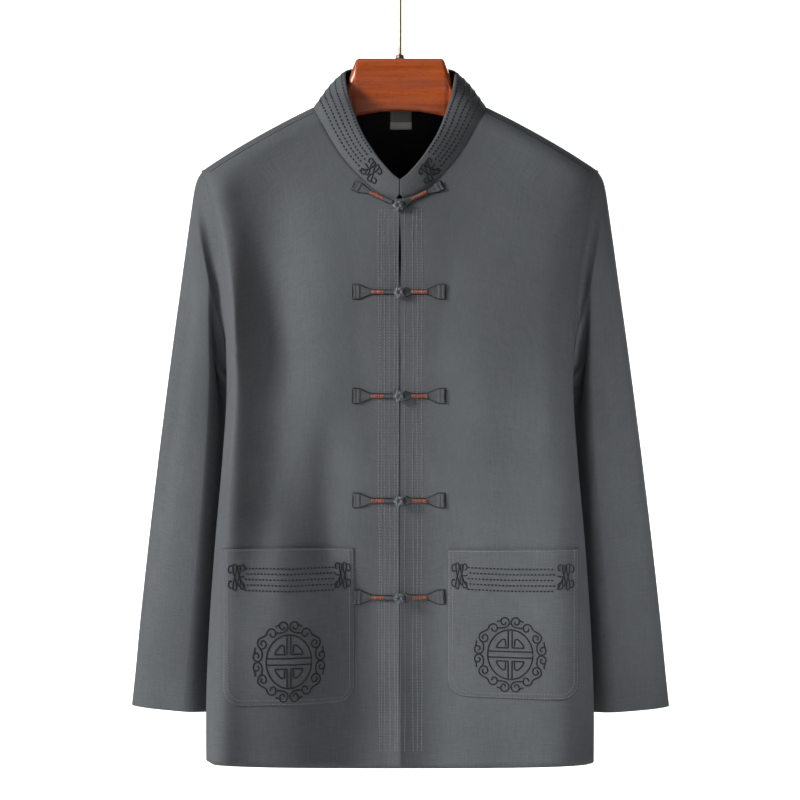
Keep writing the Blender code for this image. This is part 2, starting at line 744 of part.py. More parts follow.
def hanger(collection):
    across = np.concatenate([-HANGER["across"][:0:-1], HANGER["across"]])
    top, foot, half, power = (
        np.concatenate([HANGER[name][:0:-1], HANGER[name]])
        for name in ("top", "foot", "half_thickness", "squareness")
    )
    centres = np.stack([across, 0.0 * across, (top + foot) / 2], axis=-1)
    up = np.broadcast_to(np.array([0.0, 0.0, 1.0]), centres.shape)
    out = np.broadcast_to(np.array([0.0, -1.0, 0.0]), centres.shape)
    sizes = np.stack([(top - foot) / 2, half], axis=-1)
    rings, faces = loft(centres, up, out, sizes, power, 16)
    add_mesh("hanger_wood", rings.reshape(-1, 3), faces, "mahogany", collection)


def hook_line():
    """The wire's middle line, from the wood up the rod and round the hook to its tip."""
    crown = HEM_DROP + WIRE_RADIUS
    turn = np.radians(np.linspace(-60.0, 205.0, 19))
    arc = np.stack([np.cos(turn), 0 * turn, np.sin(turn)], axis=-1) * HOOK_RADIUS
    arc += (0.0, 0.0, crown - HOOK_RADIUS)
    start, tangent = arc[0], np.array([-np.sin(np.radians(60)), 0.0, -0.5])
    rod_top = np.array([0.0, 0.0, ROD_TOP])
    pulls = (rod_top, rod_top + (0.0, 0.0, 7.0), start + tangent * 8.0, start)
    t = np.linspace(0.0, 1.0, 7)[:, None]
    bend = (pulls[0] * (1 - t) ** 3 + 3 * pulls[1] * t * (1 - t) ** 2
            + 3 * pulls[2] * t**2 * (1 - t) + pulls[3] * t**3)
    foot = np.array([[0.0, 0.0, HANGER["top"][0] + SEAM]])
    return np.concatenate([foot, bend, arc[1:]])


def hook(collection):
    line = (hook_line() - (0.0, 0.0, HEM_DROP)) * MM
    curve = bpy.data.curves.new("hook", "CURVE")
    curve.dimensions = "3D"
    curve.bevel_depth = WIRE_RADIUS * MM
    curve.bevel_resolution = 2
    curve.use_fill_caps = True
    curve.render_resolution_u = 0
    spline = curve.splines.new("POLY")
    spline.points.add(len(line) - 1)
    for point, place in zip(spline.points, line):
        point.co = (*place, 1.0)
    curve.materials.append(material("brass"))
    collection.objects.link(bpy.data.objects.new("hook", curve))


def ferrule(collection):
    inner = WIRE_RADIUS + SEAM
    low = HANGER["top"][0] + SEAM - HEM_DROP
    high = low + FERRULE_HEIGHT
    profile = ((inner, low), (FERRULE_RADIUS, low), (FERRULE_RADIUS * 0.8, high), (inner, high))
    mesh = bpy.data.meshes.new("ferrule")
    points = [(radius * MM, 0.0, height * MM) for radius, height in profile]
    mesh.from_pydata(points, [(0, 1), (1, 2), (2, 3), (3, 0)], [])
    mesh.materials.append(material("brass"))
    obj = bpy.data.objects.new("ferrule", mesh)
    turn = obj.modifiers.new("turned", "SCREW")
    turn.steps = 20
    turn.render_steps = 20
    turn.use_merge_vertices = True
    turn.merge_threshold = 0.00001
    turn.use_normal_calculate = True
    turn.use_normal_flip = True
    collection.objects.link(obj)


def main():
    clear_scene()
    collection = bpy.data.collections.new("Jacket on a hanger")
    bpy.context.scene.collection.children.link(collection)
    front_necks = fronts(collection)
    back_necks = back(collection)
    sleeves(collection)
    collar(front_necks, back_necks, collection)
    pockets(collection)
    label(collection)
    frogs(collection)
    hanger(collection)
    hook(collection)
    ferrule(collection)


main()
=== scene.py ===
"""The look of a grey jacket with frog fastenings, hung on a wooden hanger.

Shapes are worked out in millimetres, with heights above the hem, and placed by place().
Left is -X as seen from the front, and the front faces -Y. Angles go round the body from the
middle of the front, 0, by the side, 90 degrees, to the middle of the back, 180.
"""

import bmesh
import bpy
import numpy as np
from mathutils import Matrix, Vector


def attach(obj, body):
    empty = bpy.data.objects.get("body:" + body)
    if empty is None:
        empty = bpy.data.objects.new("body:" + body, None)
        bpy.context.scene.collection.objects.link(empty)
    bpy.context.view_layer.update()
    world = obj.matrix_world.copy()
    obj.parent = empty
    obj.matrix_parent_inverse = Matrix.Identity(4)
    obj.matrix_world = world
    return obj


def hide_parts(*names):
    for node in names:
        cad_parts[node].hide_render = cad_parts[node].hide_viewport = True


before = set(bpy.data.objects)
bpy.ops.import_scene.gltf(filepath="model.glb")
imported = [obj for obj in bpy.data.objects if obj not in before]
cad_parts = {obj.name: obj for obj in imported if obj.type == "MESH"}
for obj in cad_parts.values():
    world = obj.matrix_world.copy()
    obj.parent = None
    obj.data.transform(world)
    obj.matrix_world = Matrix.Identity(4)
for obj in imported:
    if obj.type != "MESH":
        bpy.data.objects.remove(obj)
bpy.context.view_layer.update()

TAU = 2 * np.pi
HEM_DROP = 926.0  # from the hook's crown down to the hem
CLOTH = 1.5
COLLAR_CLOTH = 2.2
POCKET_CLOTH = 1.2
LABEL_CLOTH = 0.5
LABEL_BAND_H = 731.0  # the label is pale below this height


def table(names, *rows):
    """Columns by name from rows of numbers."""
    return dict(zip(names.split(), np.array(rows, float).T))


# Half-ovals of the body by height; a higher power is squarer.
BODY = table(
    "height half_width widest_y front_depth back_depth front_power back_power",
    (0, 220.0, -8, 64, 82, 3.20, 1.60),
    (60, 220.0, -8, 65, 83, 3.20, 1.58),
    (150, 216.5, -8, 67, 84, 3.20, 1.55),
    (250, 209.5, -8, 69, 85, 3.20, 1.55),
    (350, 200.8, -8, 70, 85, 3.20, 1.55),
    (420, 196.6, -7, 70, 84, 3.20, 1.62),
    (470, 197.5, -6, 70, 82, 3.15, 1.85),
    (530, 201.0, -4, 68, 78, 3.10, 2.30),
    (580, 208.0, -2, 66, 73, 3.05, 2.70),
    (630, 219.0, 0, 63, 68, 3.00, 3.00),
    (680, 229.0, 0, 61, 65, 3.00, 3.00),
    (760, 231.0, 0, 60, 64, 3.00, 3.00),
)
# Where the panels end towards the side: at the side seam, and higher up at the armhole.
PANEL_EDGES = table(
    "height front_end back_end",
    (0, 100, 100),
    (400, 100, 100),
    (440, 100, 100),
    (460, 100, 100),
    (466, 94, 106),
    (480, 90, 112),
    (505, 87, 119),
    (540, 84, 124),
    (580, 80, 126),
    (620, 77, 124),
    (645, 76, 119),
    (662, 79, 111),
    (672, 86, 100),
    (760, 86, 100),
)
SIDE_SEAM_ANGLE = 100.0
NECK_SIDE_X, NECK_SIDE_H = 99.0, 744.0
SHOULDER_X, SHOULDER_H, ARMPIT_H = 226.0, 672.0, 460.0
SHOULDER_BOW = 10.5  # four times the rise of the shoulder line's bow
# Below the shoulder line the body takes a first share of its depth within ROUND_DROP, and the
# rest within SLOPE_DROP. The pairs hold at the middle of the body and at OUTER_X.
ROUND_DROP = 28.0
SLOPE_DROP = (220.0, 80.0)
FRONT_SHARE = (0.38, 0.80)
BACK_SHARE = (0.55, 0.80)
OUTER_X = 215.0
FOLD_SIDE_FADE, FOLD_TOP_FADE = 15.0, 50.0  # creases fade out so near the side and the shoulder
FOLD_HEM_DROP = 0.14  # share of a crease's depth by which it pulls the hem down
FRONT_NECKLINE = table(
    "across height",
    (0.0, 635.5),
    (18.0, 639.5),
    (30.0, 647.5),
    (41.5, 658.5),
    (53.0, 670.0),
    (65.0, 684.5),
    (77.0, 703.0),
    (88.5, 724.0),
    (99.0, 744.0),
)
BACK_NECKLINE = table(
    "across height",
    (0.0, 750.5),
    (30.0, 751.0),
    (60.0, 751.0),
    (80.0, 749.0),
    (92.0, 746.3),
    (99.0, 744.0),
)
# Slanting ovals of a sleeve from its head to its cuff. turn brings the outer edge back, by a
# share of it on each side. The head is tucked in and laps under the panels' edges.
SLEEVE_TURN = {-1: 1.2, 1: 0.7}
SLEEVE_POWER, SLEEVE_INNER_POWER = 2.7, 1.3
SLEEVE_GROOVE = 10.0
HEAD_TUCK, HEAD_LAP_ANGLE, HEAD_LAP_IN = 1.2, 4.5, 2.9
SLEEVE = table(
    "station outer_x outer_h inner_x inner_h middle_y half_depth turn",
    (1, 234.0, 657, 197.0, 449, 17, 31, 0),
    (2, 241.5, 615, 195.0, 434, 27, 37, 0),
    (3, 251.6, 550, 185.0, 414, 39, 45, 2),
    (4, 263.3, 473, 174.0, 384, 49, 51, 5),
    (5, 276.0, 380, 169.5, 328, 52, 51, 9),
    (6, 290.0, 268, 172.5, 240, 50, 46, 15),
    (7, 301.9, 163, 179.5, 144, 46, 38, 21),
    (8, 308.7, 92, 185.5, 81, 42, 32.5, 24),
    (9, 312.6, 55.3, 187.5, 47.8, 40, 30, 25),
)
# Half of the collar from its end in front to the middle of the back: the seam on the neckline,
# the top edge and how far the band bows out between them.
NECK_SIDE_STATION, NECK_BACK_STATION = 8.0, 13.0
COLLAR = table(
    "station seam_x top_x top_y top_h crown",
    (0, 0.3, 0.3, -57, 657.0, 0.8),
    (1, 18.0, 7.9, -56, 663.0, 1.0),
    (2, 30.0, 15.8, -54.5, 671.5, 1.2),
    (3, 41.5, 24.3, -52, 681.7, 1.4),
    (4, 53.0, 31.7, -49, 692.6, 1.6),
    (5, 65.0, 39.6, -45, 705.5, 1.8),
    (6, 77.0, 46.5, -40, 720.6, 2.2),
    (7, 88.5, 52.6, -34, 738.5, 3.2),
    (8, 99.0, 58.8, -24, 758.0, 4.8),
    (9, 92.0, 63.0, -4, 780.5, 6.6),
    (10, 76.0, 61.0, 16, 788.0, 6.0),
    (11, 50.0, 45.0, 29, 792.3, 3.8),
    (12, 25.0, 23.0, 36, 793.8, 2.4),
    (13, 0.0, 0.0, 38, 794.0, 2.2),
)
HANGER = table(
    "across top foot half_thickness squareness",
    (0.0, 799.0, 739.6, 10.0, 3.4),
    (24.0, 799.0, 738.2, 10.0, 3.4),
    (47.3, 799.0, 734.0, 10.0, 3.3),
    (50.3, 797.0, 733.0, 10.0, 3.2),
    (54.3, 787.0, 731.0, 9.0, 2.8),
    (58.3, 775.0, 728.5, 8.6, 2.4),
    (64.0, 755.0, 725.0, 7.4, 2.0),
    (80.0, 741.5, 714.0, 7.4, 2.0),
    (98.0, 735.5, 704.0, 8.6, 2.0),
    (125.0, 726.0, 693.5, 12.5, 2.0),
    (155.0, 709.0, 677.0, 15.0, 2.0),
    (182.0, 693.6, 663.5, 17.0, 2.1),
    (198.0, 684.4, 657.5, 16.5, 2.1),
    (206.0, 678.0, 659.0, 12.5, 2.1),
    (209.0, 672.5, 664.0, 6.5, 2.0),
)
POCKETS = {
    "pocket_left": dict(inner_x=-51.4, outer_x=-197.5, inner_h=243.5, outer_h=244.5, foot_h=68.5),
    "pocket_right": dict(inner_x=54.0, outer_x=199.5, inner_h=242.5, outer_h=244.5, foot_h=75.0),
}
POCKET_CORNER = 21.0
FROG_REACH = 51.0  # from a knot to the ends of its wings
# Fastenings from the neck down. rise is how much the wings' ends stand above the knot.
FROGS = table(
    "number height across rise",
    (1, 627.5, -2.0, 24.0),
    (2, 530.0, -1.0, 0.5),
    (3, 414.5, -1.0, 0.0),
    (4, 297.0, -1.0, 0.5),
    (5, 186.8, -1.0, 1.0),
)
# The main creases. Each row is a trough, or a ridge where its depth is negative:
# x at its low and its high end, the heights of the two ends, half width and depth. On sleeves
# degrees round the sleeve stand for x, and rings along it for height.
FOLDS = {
    "front_left": (
        (-128, -142, 180, 740, 34, 18.0),
        (-196, -186, 150, 700, 23, -22.0),
        (-206, -204, -200, 165, 45, -16.0),
        (-204, -198, -200, 330, 20, -11.0),
        (-186, -222, 400, 800, 22, -15.0),
        (-84, -90, -120, 640, 62, 6.0),
        (-84, -80, 190, 430, 25, 15.0),
        (-136, -130, 150, 380, 16, -3.5),
        (-50, -50, -300, 480, 50, 24.0),
        (30, 30, -300, 480, 55, 24.0),
        (-56, -56, -300, 300, 46, 10.0),
        (20, 20, -300, 260, 60, 6.0),
        (0, 0, -300, 520, 50, 5.0),
        (0, 0, -420, 640, 95, 11.0),
        (-30, -60, 330, 620, 12, 0.7),
        (-14, -18, -60, 150, 11, 1.2),
    ),
    "front_right": (
        (182, 188, -200, 650, 34, -10.0),
        (20, 20, -300, 480, 70, 28.4),
        (110, 110, -300, 480, 60, 13.0),
        (30, 30, -300, 270, 60, 9.9),
        (40, 40, -300, 520, 70, 6.9),
        (0, 0, -420, 640, 95, 11.0),
        (96, 86, 110, 600, 26, -2.4),
        (44, 52, -80, 300, 24, 3.0),
        (118, 104, -70, 240, 14, 1.3),
        (172, 186, 240, 600, 10, 1.1),
        (32, 64, 380, 630, 13, 0.8),
    ),
    "back": (
        (-132, -108, -60, 430, 22, 8.5),
        (-62, -38, -80, 330, 24, -5.6),
        (10, -5, 60, 560, 20, 6.2),
        (84, 66, -90, 380, 23, 9.2),
        (144, 124, -20, 470, 24, -3.8),
        (-96, -78, -60, 300, 13, 1.8),
        (44, 30, -80, 420, 12, 1.8),
        (-70, -120, 380, 690, 26, 5.0),
        (96, 150, 420, 700, 24, 4.4),
    ),
    "sleeve_left": (
        (136, 141, 0.4, 13.0, 20, 21.0),
        (62, 38, 2.2, 7.4, 14, 3.4),
        (250, 225, 1.6, 6.2, 18, 4.0),
        (300, 318, 4.0, 9.5, 15, -3.0),
        (30, 22, 5.0, 9.6, 9, 1.3),
    ),
    "sleeve_right": (
        (136, 141, 0.4, 13.0, 20, 21.0),
        (48, 66, 2.8, 8.2, 15, 3.0),
        (235, 262, 1.8, 6.8, 18, 4.0),
        (310, 292, 4.4, 9.4, 14, -3.0),
        (26, 36, 4.6, 9.6, 10, 1.2),
    ),
}


# Shapes


def place(points):
    """Millimetres above the hem to metres below the hook."""
    return (np.asarray(points, float) - (0.0, 0.0, HEM_DROP)) * 0.001


def smooth(t):
    """A soft step from 0 to 1: three t squared less two t cubed, with t held between them."""
    t = np.clip(t, 0.0, 1.0)
    return t * t * (3.0 - 2.0 * t)


def between(pair, part):
    """The value that lies a part of the way from the first to the second."""
    return pair[0] + (pair[1] - pair[0]) * part


def through(knots, values, at):
    """A smooth curve through the values at the knots.

    Between two knots it is the cubic with their values and slopes, and a knot's slope is that
    of the line between its neighbours.
    """
    at = np.clip(at, knots[0], knots[-1])
    values = np.asarray(values, float)
    slopes = np.gradient(values, knots, axis=0)
    i = np.clip(np.searchsorted(knots, at, side="right") - 1, 0, len(knots) - 2)
    step = knots[i + 1] - knots[i]
    part = (at - knots[i]) / step
    if values.ndim > 1:
        shape = np.shape(at) + (1,) * (values.ndim - 1)
        step, part = np.reshape(step, shape), np.reshape(part, shape)
    rest = 1.0 - part
    ends = values[i] * rest**2 * (1 + 2 * part) + values[i + 1] * part**2 * (1 + 2 * rest)
    return ends + step * part * rest * (slopes[i] * rest - slopes[i + 1] * part)


def column(rows, name, at):
    """A table's named column, read through() its first column."""
    return through(rows[next(iter(rows))], rows[name], at)


def unit(vectors):
    """Each vector divided by its length."""
    return vectors / np.maximum(np.linalg.norm(vectors, axis=-1, keepdims=True), 1e-9)


def shoulder_line(x):
    """Height of the shoulder: a straight fall from neck to tip, bowed up by a parabola."""
    fall = (NECK_SIDE_H - SHOULDER_H) / (SHOULDER_X - NECK_SIDE_X)
    out = np.clip((np.abs(x) - NECK_SIDE_X) / (SHOULDER_X - NECK_SIDE_X), 0.0, 1.0)
    return NECK_SIDE_H - (np.abs(x) - NECK_SIDE_X) * fall + SHOULDER_BOW * out * (1.0 - out)


def folds_of(piece, across, height):
    """Sum of the creases' depths.

    Each is its depth times a bell across it, exp of minus the squared distance from its
    slanting line over its half width, and soft steps that fade it out at both ends.
    """
    total = np.zeros(np.broadcast_shapes(np.shape(across), np.shape(height)))
    for low_x, high_x, low_h, high_h, width, depth in FOLDS.get(piece, ()):
        up = (height - low_h) / (high_h - low_h)
        middle = low_x + (high_x - low_x) * up
        fade = smooth(4 * up) * smooth(2.2 * (1 - up))
        total += depth * fade * np.exp(-(((across - middle) / width) ** 2))
    return total


def body_x(angle, height):
    """Distance from the middle: half width times the sine of the angle to 2 over the power."""
    front = np.cos(angle) >= 0
    power = np.where(
        front, column(BODY, "front_power", height), column(BODY, "back_power", height)
    )
    return column(BODY, "half_width", height) * np.sin(angle) ** (2.0 / power)


def body_point(piece, side, angle, height):
    """Points of the body: two half-ovals that meet at the sides, with the piece's creases.

    Their depth goes with the cosine of the angle to 2 over the power. Towards the shoulder line
    it shrinks to none, one share of it like a quarter circle and the rest by a soft step.
    """
    x = body_x(angle, height)
    front = np.cos(angle) >= 0
    power = np.where(
        front, column(BODY, "front_power", height), column(BODY, "back_power", height)
    )
    depth = np.where(
        front, -column(BODY, "front_depth", height), column(BODY, "back_depth", height)
    )
    y = column(BODY, "widest_y", height) + depth * np.abs(np.cos(angle)) ** (2.0 / power)
    out = np.minimum(x / OUTER_X, 1.0) ** 2
    near = np.where(front, between(FRONT_SHARE, out), between(BACK_SHARE, out))
    below = np.maximum(shoulder_line(x) - height, 0.0)
    rounded = np.sqrt(np.clip(1.0 - (1.0 - np.minimum(below / ROUND_DROP, 1.0)) ** 2, 0.0, 1.0))
    y = y * (near * rounded + (1.0 - near) * smooth(below / between(SLOPE_DROP, out)))
    inward = folds_of(piece, side * x, height)
    inward = inward * smooth((column(BODY, "half_width", height) - x) / FOLD_SIDE_FADE)
    inward = inward * smooth(below / FOLD_TOP_FADE)
    y = y + np.where(front, inward, -inward)
    return np.stack([side * x, y, height + 0.0 * x], axis=-1)


def solve(low, high, gap):
    """Where gap turns from positive to negative between low and high, found by halving."""
    for _ in range(40):
        middle = 0.5 * (low + high)
        over = gap(middle) > 0
        low, high = np.where(over, middle, low), np.where(over, high, middle)
    return 0.5 * (low + high)


def angle_at(x, height, back):
    """The angle at which body_x() reaches x, in front or at the back, found by halving."""
    start = np.full(np.broadcast_shapes(np.shape(x), np.shape(height)), np.pi if back else 0.0)
    return solve(start, 0 * start + np.pi / 2, lambda angle: np.abs(x) - body_x(angle, height))


def edge_angle(name, height):
    """A panel's edge in degrees, never past the side seam from its own side."""
    end = column(PANEL_EDGES, name, height)
    clamp = np.maximum if name == "back_end" else np.minimum
    return clamp(end, SIDE_SEAM_ANGLE)


def panel_grid(piece, side, back, columns, rows):
    """A panel's points: columns from the middle to the side, rows from hem to top edge.

    The angle grows with the share of the panel's width, and the height with the share of the
    column's top, which is where the column meets the neckline or the shoulder line. Columns
    crowd towards the middle and the side and rows towards the top, by a power of the share. The
    hem follows the creases down by a share of their depth.
    """
    neckline = BACK_NECKLINE if back else FRONT_NECKLINE
    start = np.pi if back else 0.0
    name = "back_end" if back else "front_end"

    def angle(part, height):
        """The body's angle at a share of the panel's width, in radians."""
        return start + (np.radians(edge_angle(name, height)) - start) * part

    def above(part, height):
        """How far the panel's top edge lies above a height: none where they meet."""
        x = body_x(angle(part, height), height)
        neck = through(neckline["across"], neckline["height"], x)
        return np.where(x < NECK_SIDE_X, neck, shoulder_line(x)) - height

    crowd, middle_crowd = 1.25, 2.2
    corner = solve(
        np.array(0.0),
        np.array(1.0),
        lambda part: NECK_SIDE_X - body_x(angle(part, NECK_SIDE_H), NECK_SIDE_H),
    )
    half = columns // 2
    spread = 1.0 - (1.0 - np.linspace(0.0, 1.0, columns - half + 1)[1:]) ** crowd
    inner = np.linspace(0.0, 1.0, half) ** middle_crowd
    parts = np.concatenate([corner * inner, corner + (1 - corner) * spread])
    tops = solve(
        np.full(parts.shape, 500.0), np.full(parts.shape, 760.0), lambda h: above(parts, h)
    )
    tops[half - 1], tops[-1] = NECK_SIDE_H, SHOULDER_H
    up = 1.0 - (1.0 - np.linspace(0.0, 1.0, rows)) ** crowd
    heights = up[:, None] * tops[None, :]
    across = np.broadcast_to(parts, heights.shape)
    points = body_point(piece, side, angle(across, heights), heights)
    near_hem = (1.0 - up[:, None]) ** 8
    points[..., 2] -= FOLD_HEM_DROP * folds_of(piece, points[..., 0], heights) * near_hem
    points[:, -1, 0] = side * np.minimum(np.abs(points[:, -1, 0]), SHOULDER_X)
    points[-1, -1] = (side * SHOULDER_X, 0.0, SHOULDER_H)
    return points


def normals_of(points, wrap=False):
    """Unit normals of a grid: the cross product of its steps across and along."""
    if wrap:
        wide = np.concatenate([points[:, -1:], points, points[:, :1]], axis=1)
        across = np.gradient(wide, axis=1)[:, 1:-1]
    else:
        across = np.gradient(points, axis=1)
    return unit(np.cross(across, np.gradient(points, axis=0)))


def power_cos(angle, power):
    """The cosine's size to 2 over the power, with the cosine's sign."""
    return np.sign(np.cos(angle)) * np.abs(np.cos(angle)) ** (2.0 / power)


def power_sin(angle, power):
    """The sine's size to 2 over the power, with the sine's sign."""
    return np.sign(np.sin(angle)) * np.abs(np.sin(angle)) ** (2.0 / power)


def armhole(angle, side, front="", back="", lap=0.0):
    """The panels' edge at the armhole, once round from the shoulder's tip by the front.

    Its height swings with the cosine of the angle between the tip and the armpit, and the point
    lies on the body at the panel's edge, with the creases of the two named panels. lap takes it
    in under the panels by up to so many degrees of the body's angle.
    """
    height = 0.5 * (SHOULDER_H + ARMPIT_H) + 0.5 * (SHOULDER_H - ARMPIT_H) * np.cos(angle)
    end = np.where(
        angle > np.pi, edge_angle("back_end", height), edge_angle("front_end", height)
    )
    end = np.radians(end - lap * power_sin(angle, 6.0))
    on_back = body_point(back, side, end, height)
    line = np.where((angle > np.pi)[:, None], on_back, body_point(front, side, end, height))
    line[..., 0] = side * np.minimum(np.abs(line[..., 0]), SHOULDER_X)
    line[0] = (side * SHOULDER_X, 0.0, SHOULDER_H)
    return line


def sleeve_rings(piece, side, around, along):
    """Rings of a sleeve from under the panels to the cuff, with its creases.

    A ring is an oval from the outer to the inner edge: the way across goes with the cosine and
    the depth with the sine of the angle, to 2 over the power. through() leads from ring to ring.
    """
    angle = np.linspace(0.0, TAU, around, endpoint=False)
    front = piece.replace("sleeve", "front")
    stations = [armhole(angle, side, front, "back") - (side * HEAD_TUCK, 0.0, 0.0)]
    front_inner = (np.cos(angle) < 0) & (np.sin(angle) > 0)
    power = np.where(front_inner, SLEEVE_INNER_POWER, SLEEVE_POWER)
    for i in range(len(SLEEVE["station"])):
        row = {name: values[i] for name, values in SLEEVE.items()}
        outer = np.array([side * row["outer_x"], 0.0, row["outer_h"]])
        inner = np.array([side * row["inner_x"], 0.0, row["inner_h"]])
        part = 0.5 - 0.5 * power_cos(angle, power)
        ring = outer + (inner - outer) * part[:, None]
        ring[:, 1] = row["middle_y"] - row["half_depth"] * power_sin(angle, power)
        ring[:, 1] += row["turn"] * SLEEVE_TURN[side] * (1.0 - part)
        stations.append(ring)
    spots = np.linspace(0.0, len(stations) - 1.0, along)
    rings = through(np.arange(len(stations)), np.array(stations), spots)
    inward = normals_of(rings, wrap=True)
    toward = rings.mean(axis=1, keepdims=True) - rings
    inward *= np.sign(np.sum(inward * toward, axis=(1, 2), keepdims=True))
    inward[:2] *= (1.0, 1.0, 0.3)  # the head is tucked in more than down
    depth = folds_of(piece, np.degrees(angle)[None, :], spots[:, None])
    tuck = HEAD_TUCK * np.exp(-((spots / 0.10) ** 2))
    rings = rings + inward * (depth + tuck[:, None])[..., None]
    below_tip = smooth((SHOULDER_H - rings[..., 2]) / 90.0)
    # the groove comes in over a third of a ring and goes out by the second
    beside_armhole = (smooth(spots / 0.30) * (1.0 - smooth(spots - 0.45)))[:, None]
    rings[..., 1] += SLEEVE_GROOVE * beside_armhole * below_tip * smooth(np.sin(angle) * 1.6)
    under = armhole(angle, side, lap=HEAD_LAP_ANGLE) - (side * HEAD_LAP_IN, 0.0, 0.0)
    return np.concatenate([under[None], rings])


def seam_at(stations, side):
    """Points of the neckline at stations of the collar: on the body, at the neckline's height."""
    across = column(COLLAR, "seam_x", stations)
    on_back = stations > NECK_SIDE_STATION
    front_h = through(FRONT_NECKLINE["across"], FRONT_NECKLINE["height"], across)
    back_h = through(BACK_NECKLINE["across"], BACK_NECKLINE["height"], across)
    height = np.where(on_back, back_h, front_h)
    angle = np.where(on_back, angle_at(across, height, True), angle_at(across, height, False))
    return body_point("", side, angle, height)


def collar_at(stations, up, side):
    """Points of the collar, with their outward directions.

    Each lies a share of the way up the straight line from the neckline to the top edge, bowed
    outwards by a parabola that is the crown high.
    """
    foot = seam_at(stations, side) + (0.0, 0.0, 0.2)
    top = np.stack(
        [
            side * column(COLLAR, "top_x", stations),
            column(COLLAR, "top_y", stations),
            column(COLLAR, "top_h", stations),
        ],
        axis=-1,
    )
    up = np.asarray(up, float)[..., None]
    step = 0.3
    ahead = seam_at(np.minimum(stations + step, NECK_BACK_STATION), side)
    behind = seam_at(np.maximum(stations - step, 0.0), side)
    out = unit(np.cross(ahead - behind, top - foot)) * side
    crown = column(COLLAR, "crown", stations)[..., None]
    return foot + (top - foot) * up + out * crown * 4.0 * up * (1.0 - up), out


def front_at(x, height, lift=0.0):
    """Points on the fronts' outer face at x and height, with their outward directions.

    They are lifted off the face along its normal, the cross product of two short steps on it.
    """
    x = np.asarray(x, float)
    height = np.asarray(height, float)
    side = np.where(x < 0, -1.0, 1.0)
    step = 1.5

    def at(across, up):
        """Points on the left or the right front, as the side says."""
        angle = angle_at(across, up, False)
        left = body_point("front_left", side, angle, up)
        right = body_point("front_right", side, angle, up)
        return np.where(side[..., None] < 0, left, right)

    here = at(x, height)
    out = unit(np.cross(at(x - side * step, height) - here, at(x, height - step) - here))
    out = np.where(out[..., 1:2] > 0, -out, out)
    return here + out * np.asarray(lift, float)[..., None], out


# Pieces


def to_front(centres):
    """The front's direction for each face."""
    return np.broadcast_to((0.0, -1.0, 0.0), centres.shape)


def to_back(centres):
    """The back's direction for each face."""
    return np.broadcast_to((0.0, 1.0, 0.0), centres.shape)


def from_neck(centres):
    """The direction of each face away from the neck's upright middle line."""
    return centres * (1.0, 1.0, 0.0)


def build(name, points, faces, uv, materials, outward=None):
    """A mesh object from points in millimetres, quads and a UV for each face's corner.

    Faces are turned over together where most of them face against outward(centres).
    """
    mesh = bpy.data.meshes.new(name)
    faces = np.asarray(faces)
    mesh.from_pydata(place(points).tolist(), [], faces.tolist())
    if uv is not None:
        layer = mesh.uv_layers.new(name="cloth")
        layer.data.foreach_set("uv", np.asarray(uv, np.float32).reshape(-1))
    mesh.polygons.foreach_set("use_smooth", np.ones(len(mesh.polygons), bool))
    for material in materials:
        mesh.materials.append(material)
    obj = bpy.data.objects.new(name, mesh)
    bpy.context.scene.collection.objects.link(obj)
    if outward is not None:
        normals = np.empty(len(mesh.polygons) * 3)
        mesh.polygons.foreach_get("normal", normals)
        centres = np.empty(len(mesh.polygons) * 3)
        mesh.polygons.foreach_get("center", centres)
        facing = np.sum(normals.reshape(-1, 3) * outward(centres.reshape(-1, 3)))
        if facing < 0:
            mesh.flip_normals()
    mesh.update()
    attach(obj, "root")
    return obj


def surface(name, points, materials, outward, thickness=CLOTH, wrap=False):
    """A cloth shell over a grid of points, with a wall that grows inwards.

    Its UVs are the mean lengths along the rows and the columns up to each point, in metres.
    """
    rows, cols = points.shape[:2]
    ring = np.concatenate([points, points[:, :1]], axis=1) if wrap else points
    across = np.linalg.norm(np.diff(ring, axis=1), axis=-1).mean(axis=0)
    along = np.linalg.norm(np.diff(ring, axis=0), axis=-1).mean(axis=1)
    u = np.concatenate([[0.0], np.cumsum(across)]) * 0.001
    v = np.concatenate([[0.0], np.cumsum(along)]) * 0.001
    uv = np.stack(np.broadcast_arrays(u[None, :], v[:, None]), axis=-1)
    index = np.arange(rows * cols).reshape(rows, cols)
    if wrap:
        index = np.hstack([index, index[:, :1]])
    corners = grid_faces(np.arange(uv[..., 0].size).reshape(uv.shape[:2]))
    loops = uv.reshape(-1, 2)[corners]
    obj = build(name, points.reshape(-1, 3), grid_faces(index), loops, materials, outward)
    wall = obj.modifiers.new("wall", "SOLIDIFY")
    wall.thickness = thickness * 0.001
    wall.offset = -1.0
    wall.use_even_offset = False
    if len(materials) > 1:
        wall.material_offset = 1
        wall.material_offset_rim = 0
    return obj


def tube(centres, first, second, halves, power, sides):
    """Points and faces of oval rings along a line, closed at both ends.

    From its centre a ring goes by the cosine along first and by the sine along second, each to
    2 over the power and times its half size.
    """
    angle = np.linspace(0.0, TAU, sides, endpoint=False)
    power = np.broadcast_to(power, len(centres))[:, None]
    c = power_cos(angle, power)[..., None]
    s = power_sin(angle, power)[..., None]
    halves = np.broadcast_to(np.asarray(halves, float), (len(centres), 2))
    rings = (
        centres[:, None]
        + first[:, None] * c * halves[:, 0, None, None]
        + second[:, None] * s * halves[:, 1, None, None]
    )
    return rings, ring_faces(len(centres), sides)


def grid_faces(index):
    """A quad for each four neighbours in a grid of point numbers."""
    corners = (index[:-1, :-1], index[:-1, 1:], index[1:, 1:], index[1:, :-1])
    return np.stack(corners, axis=2).reshape(-1, 4)


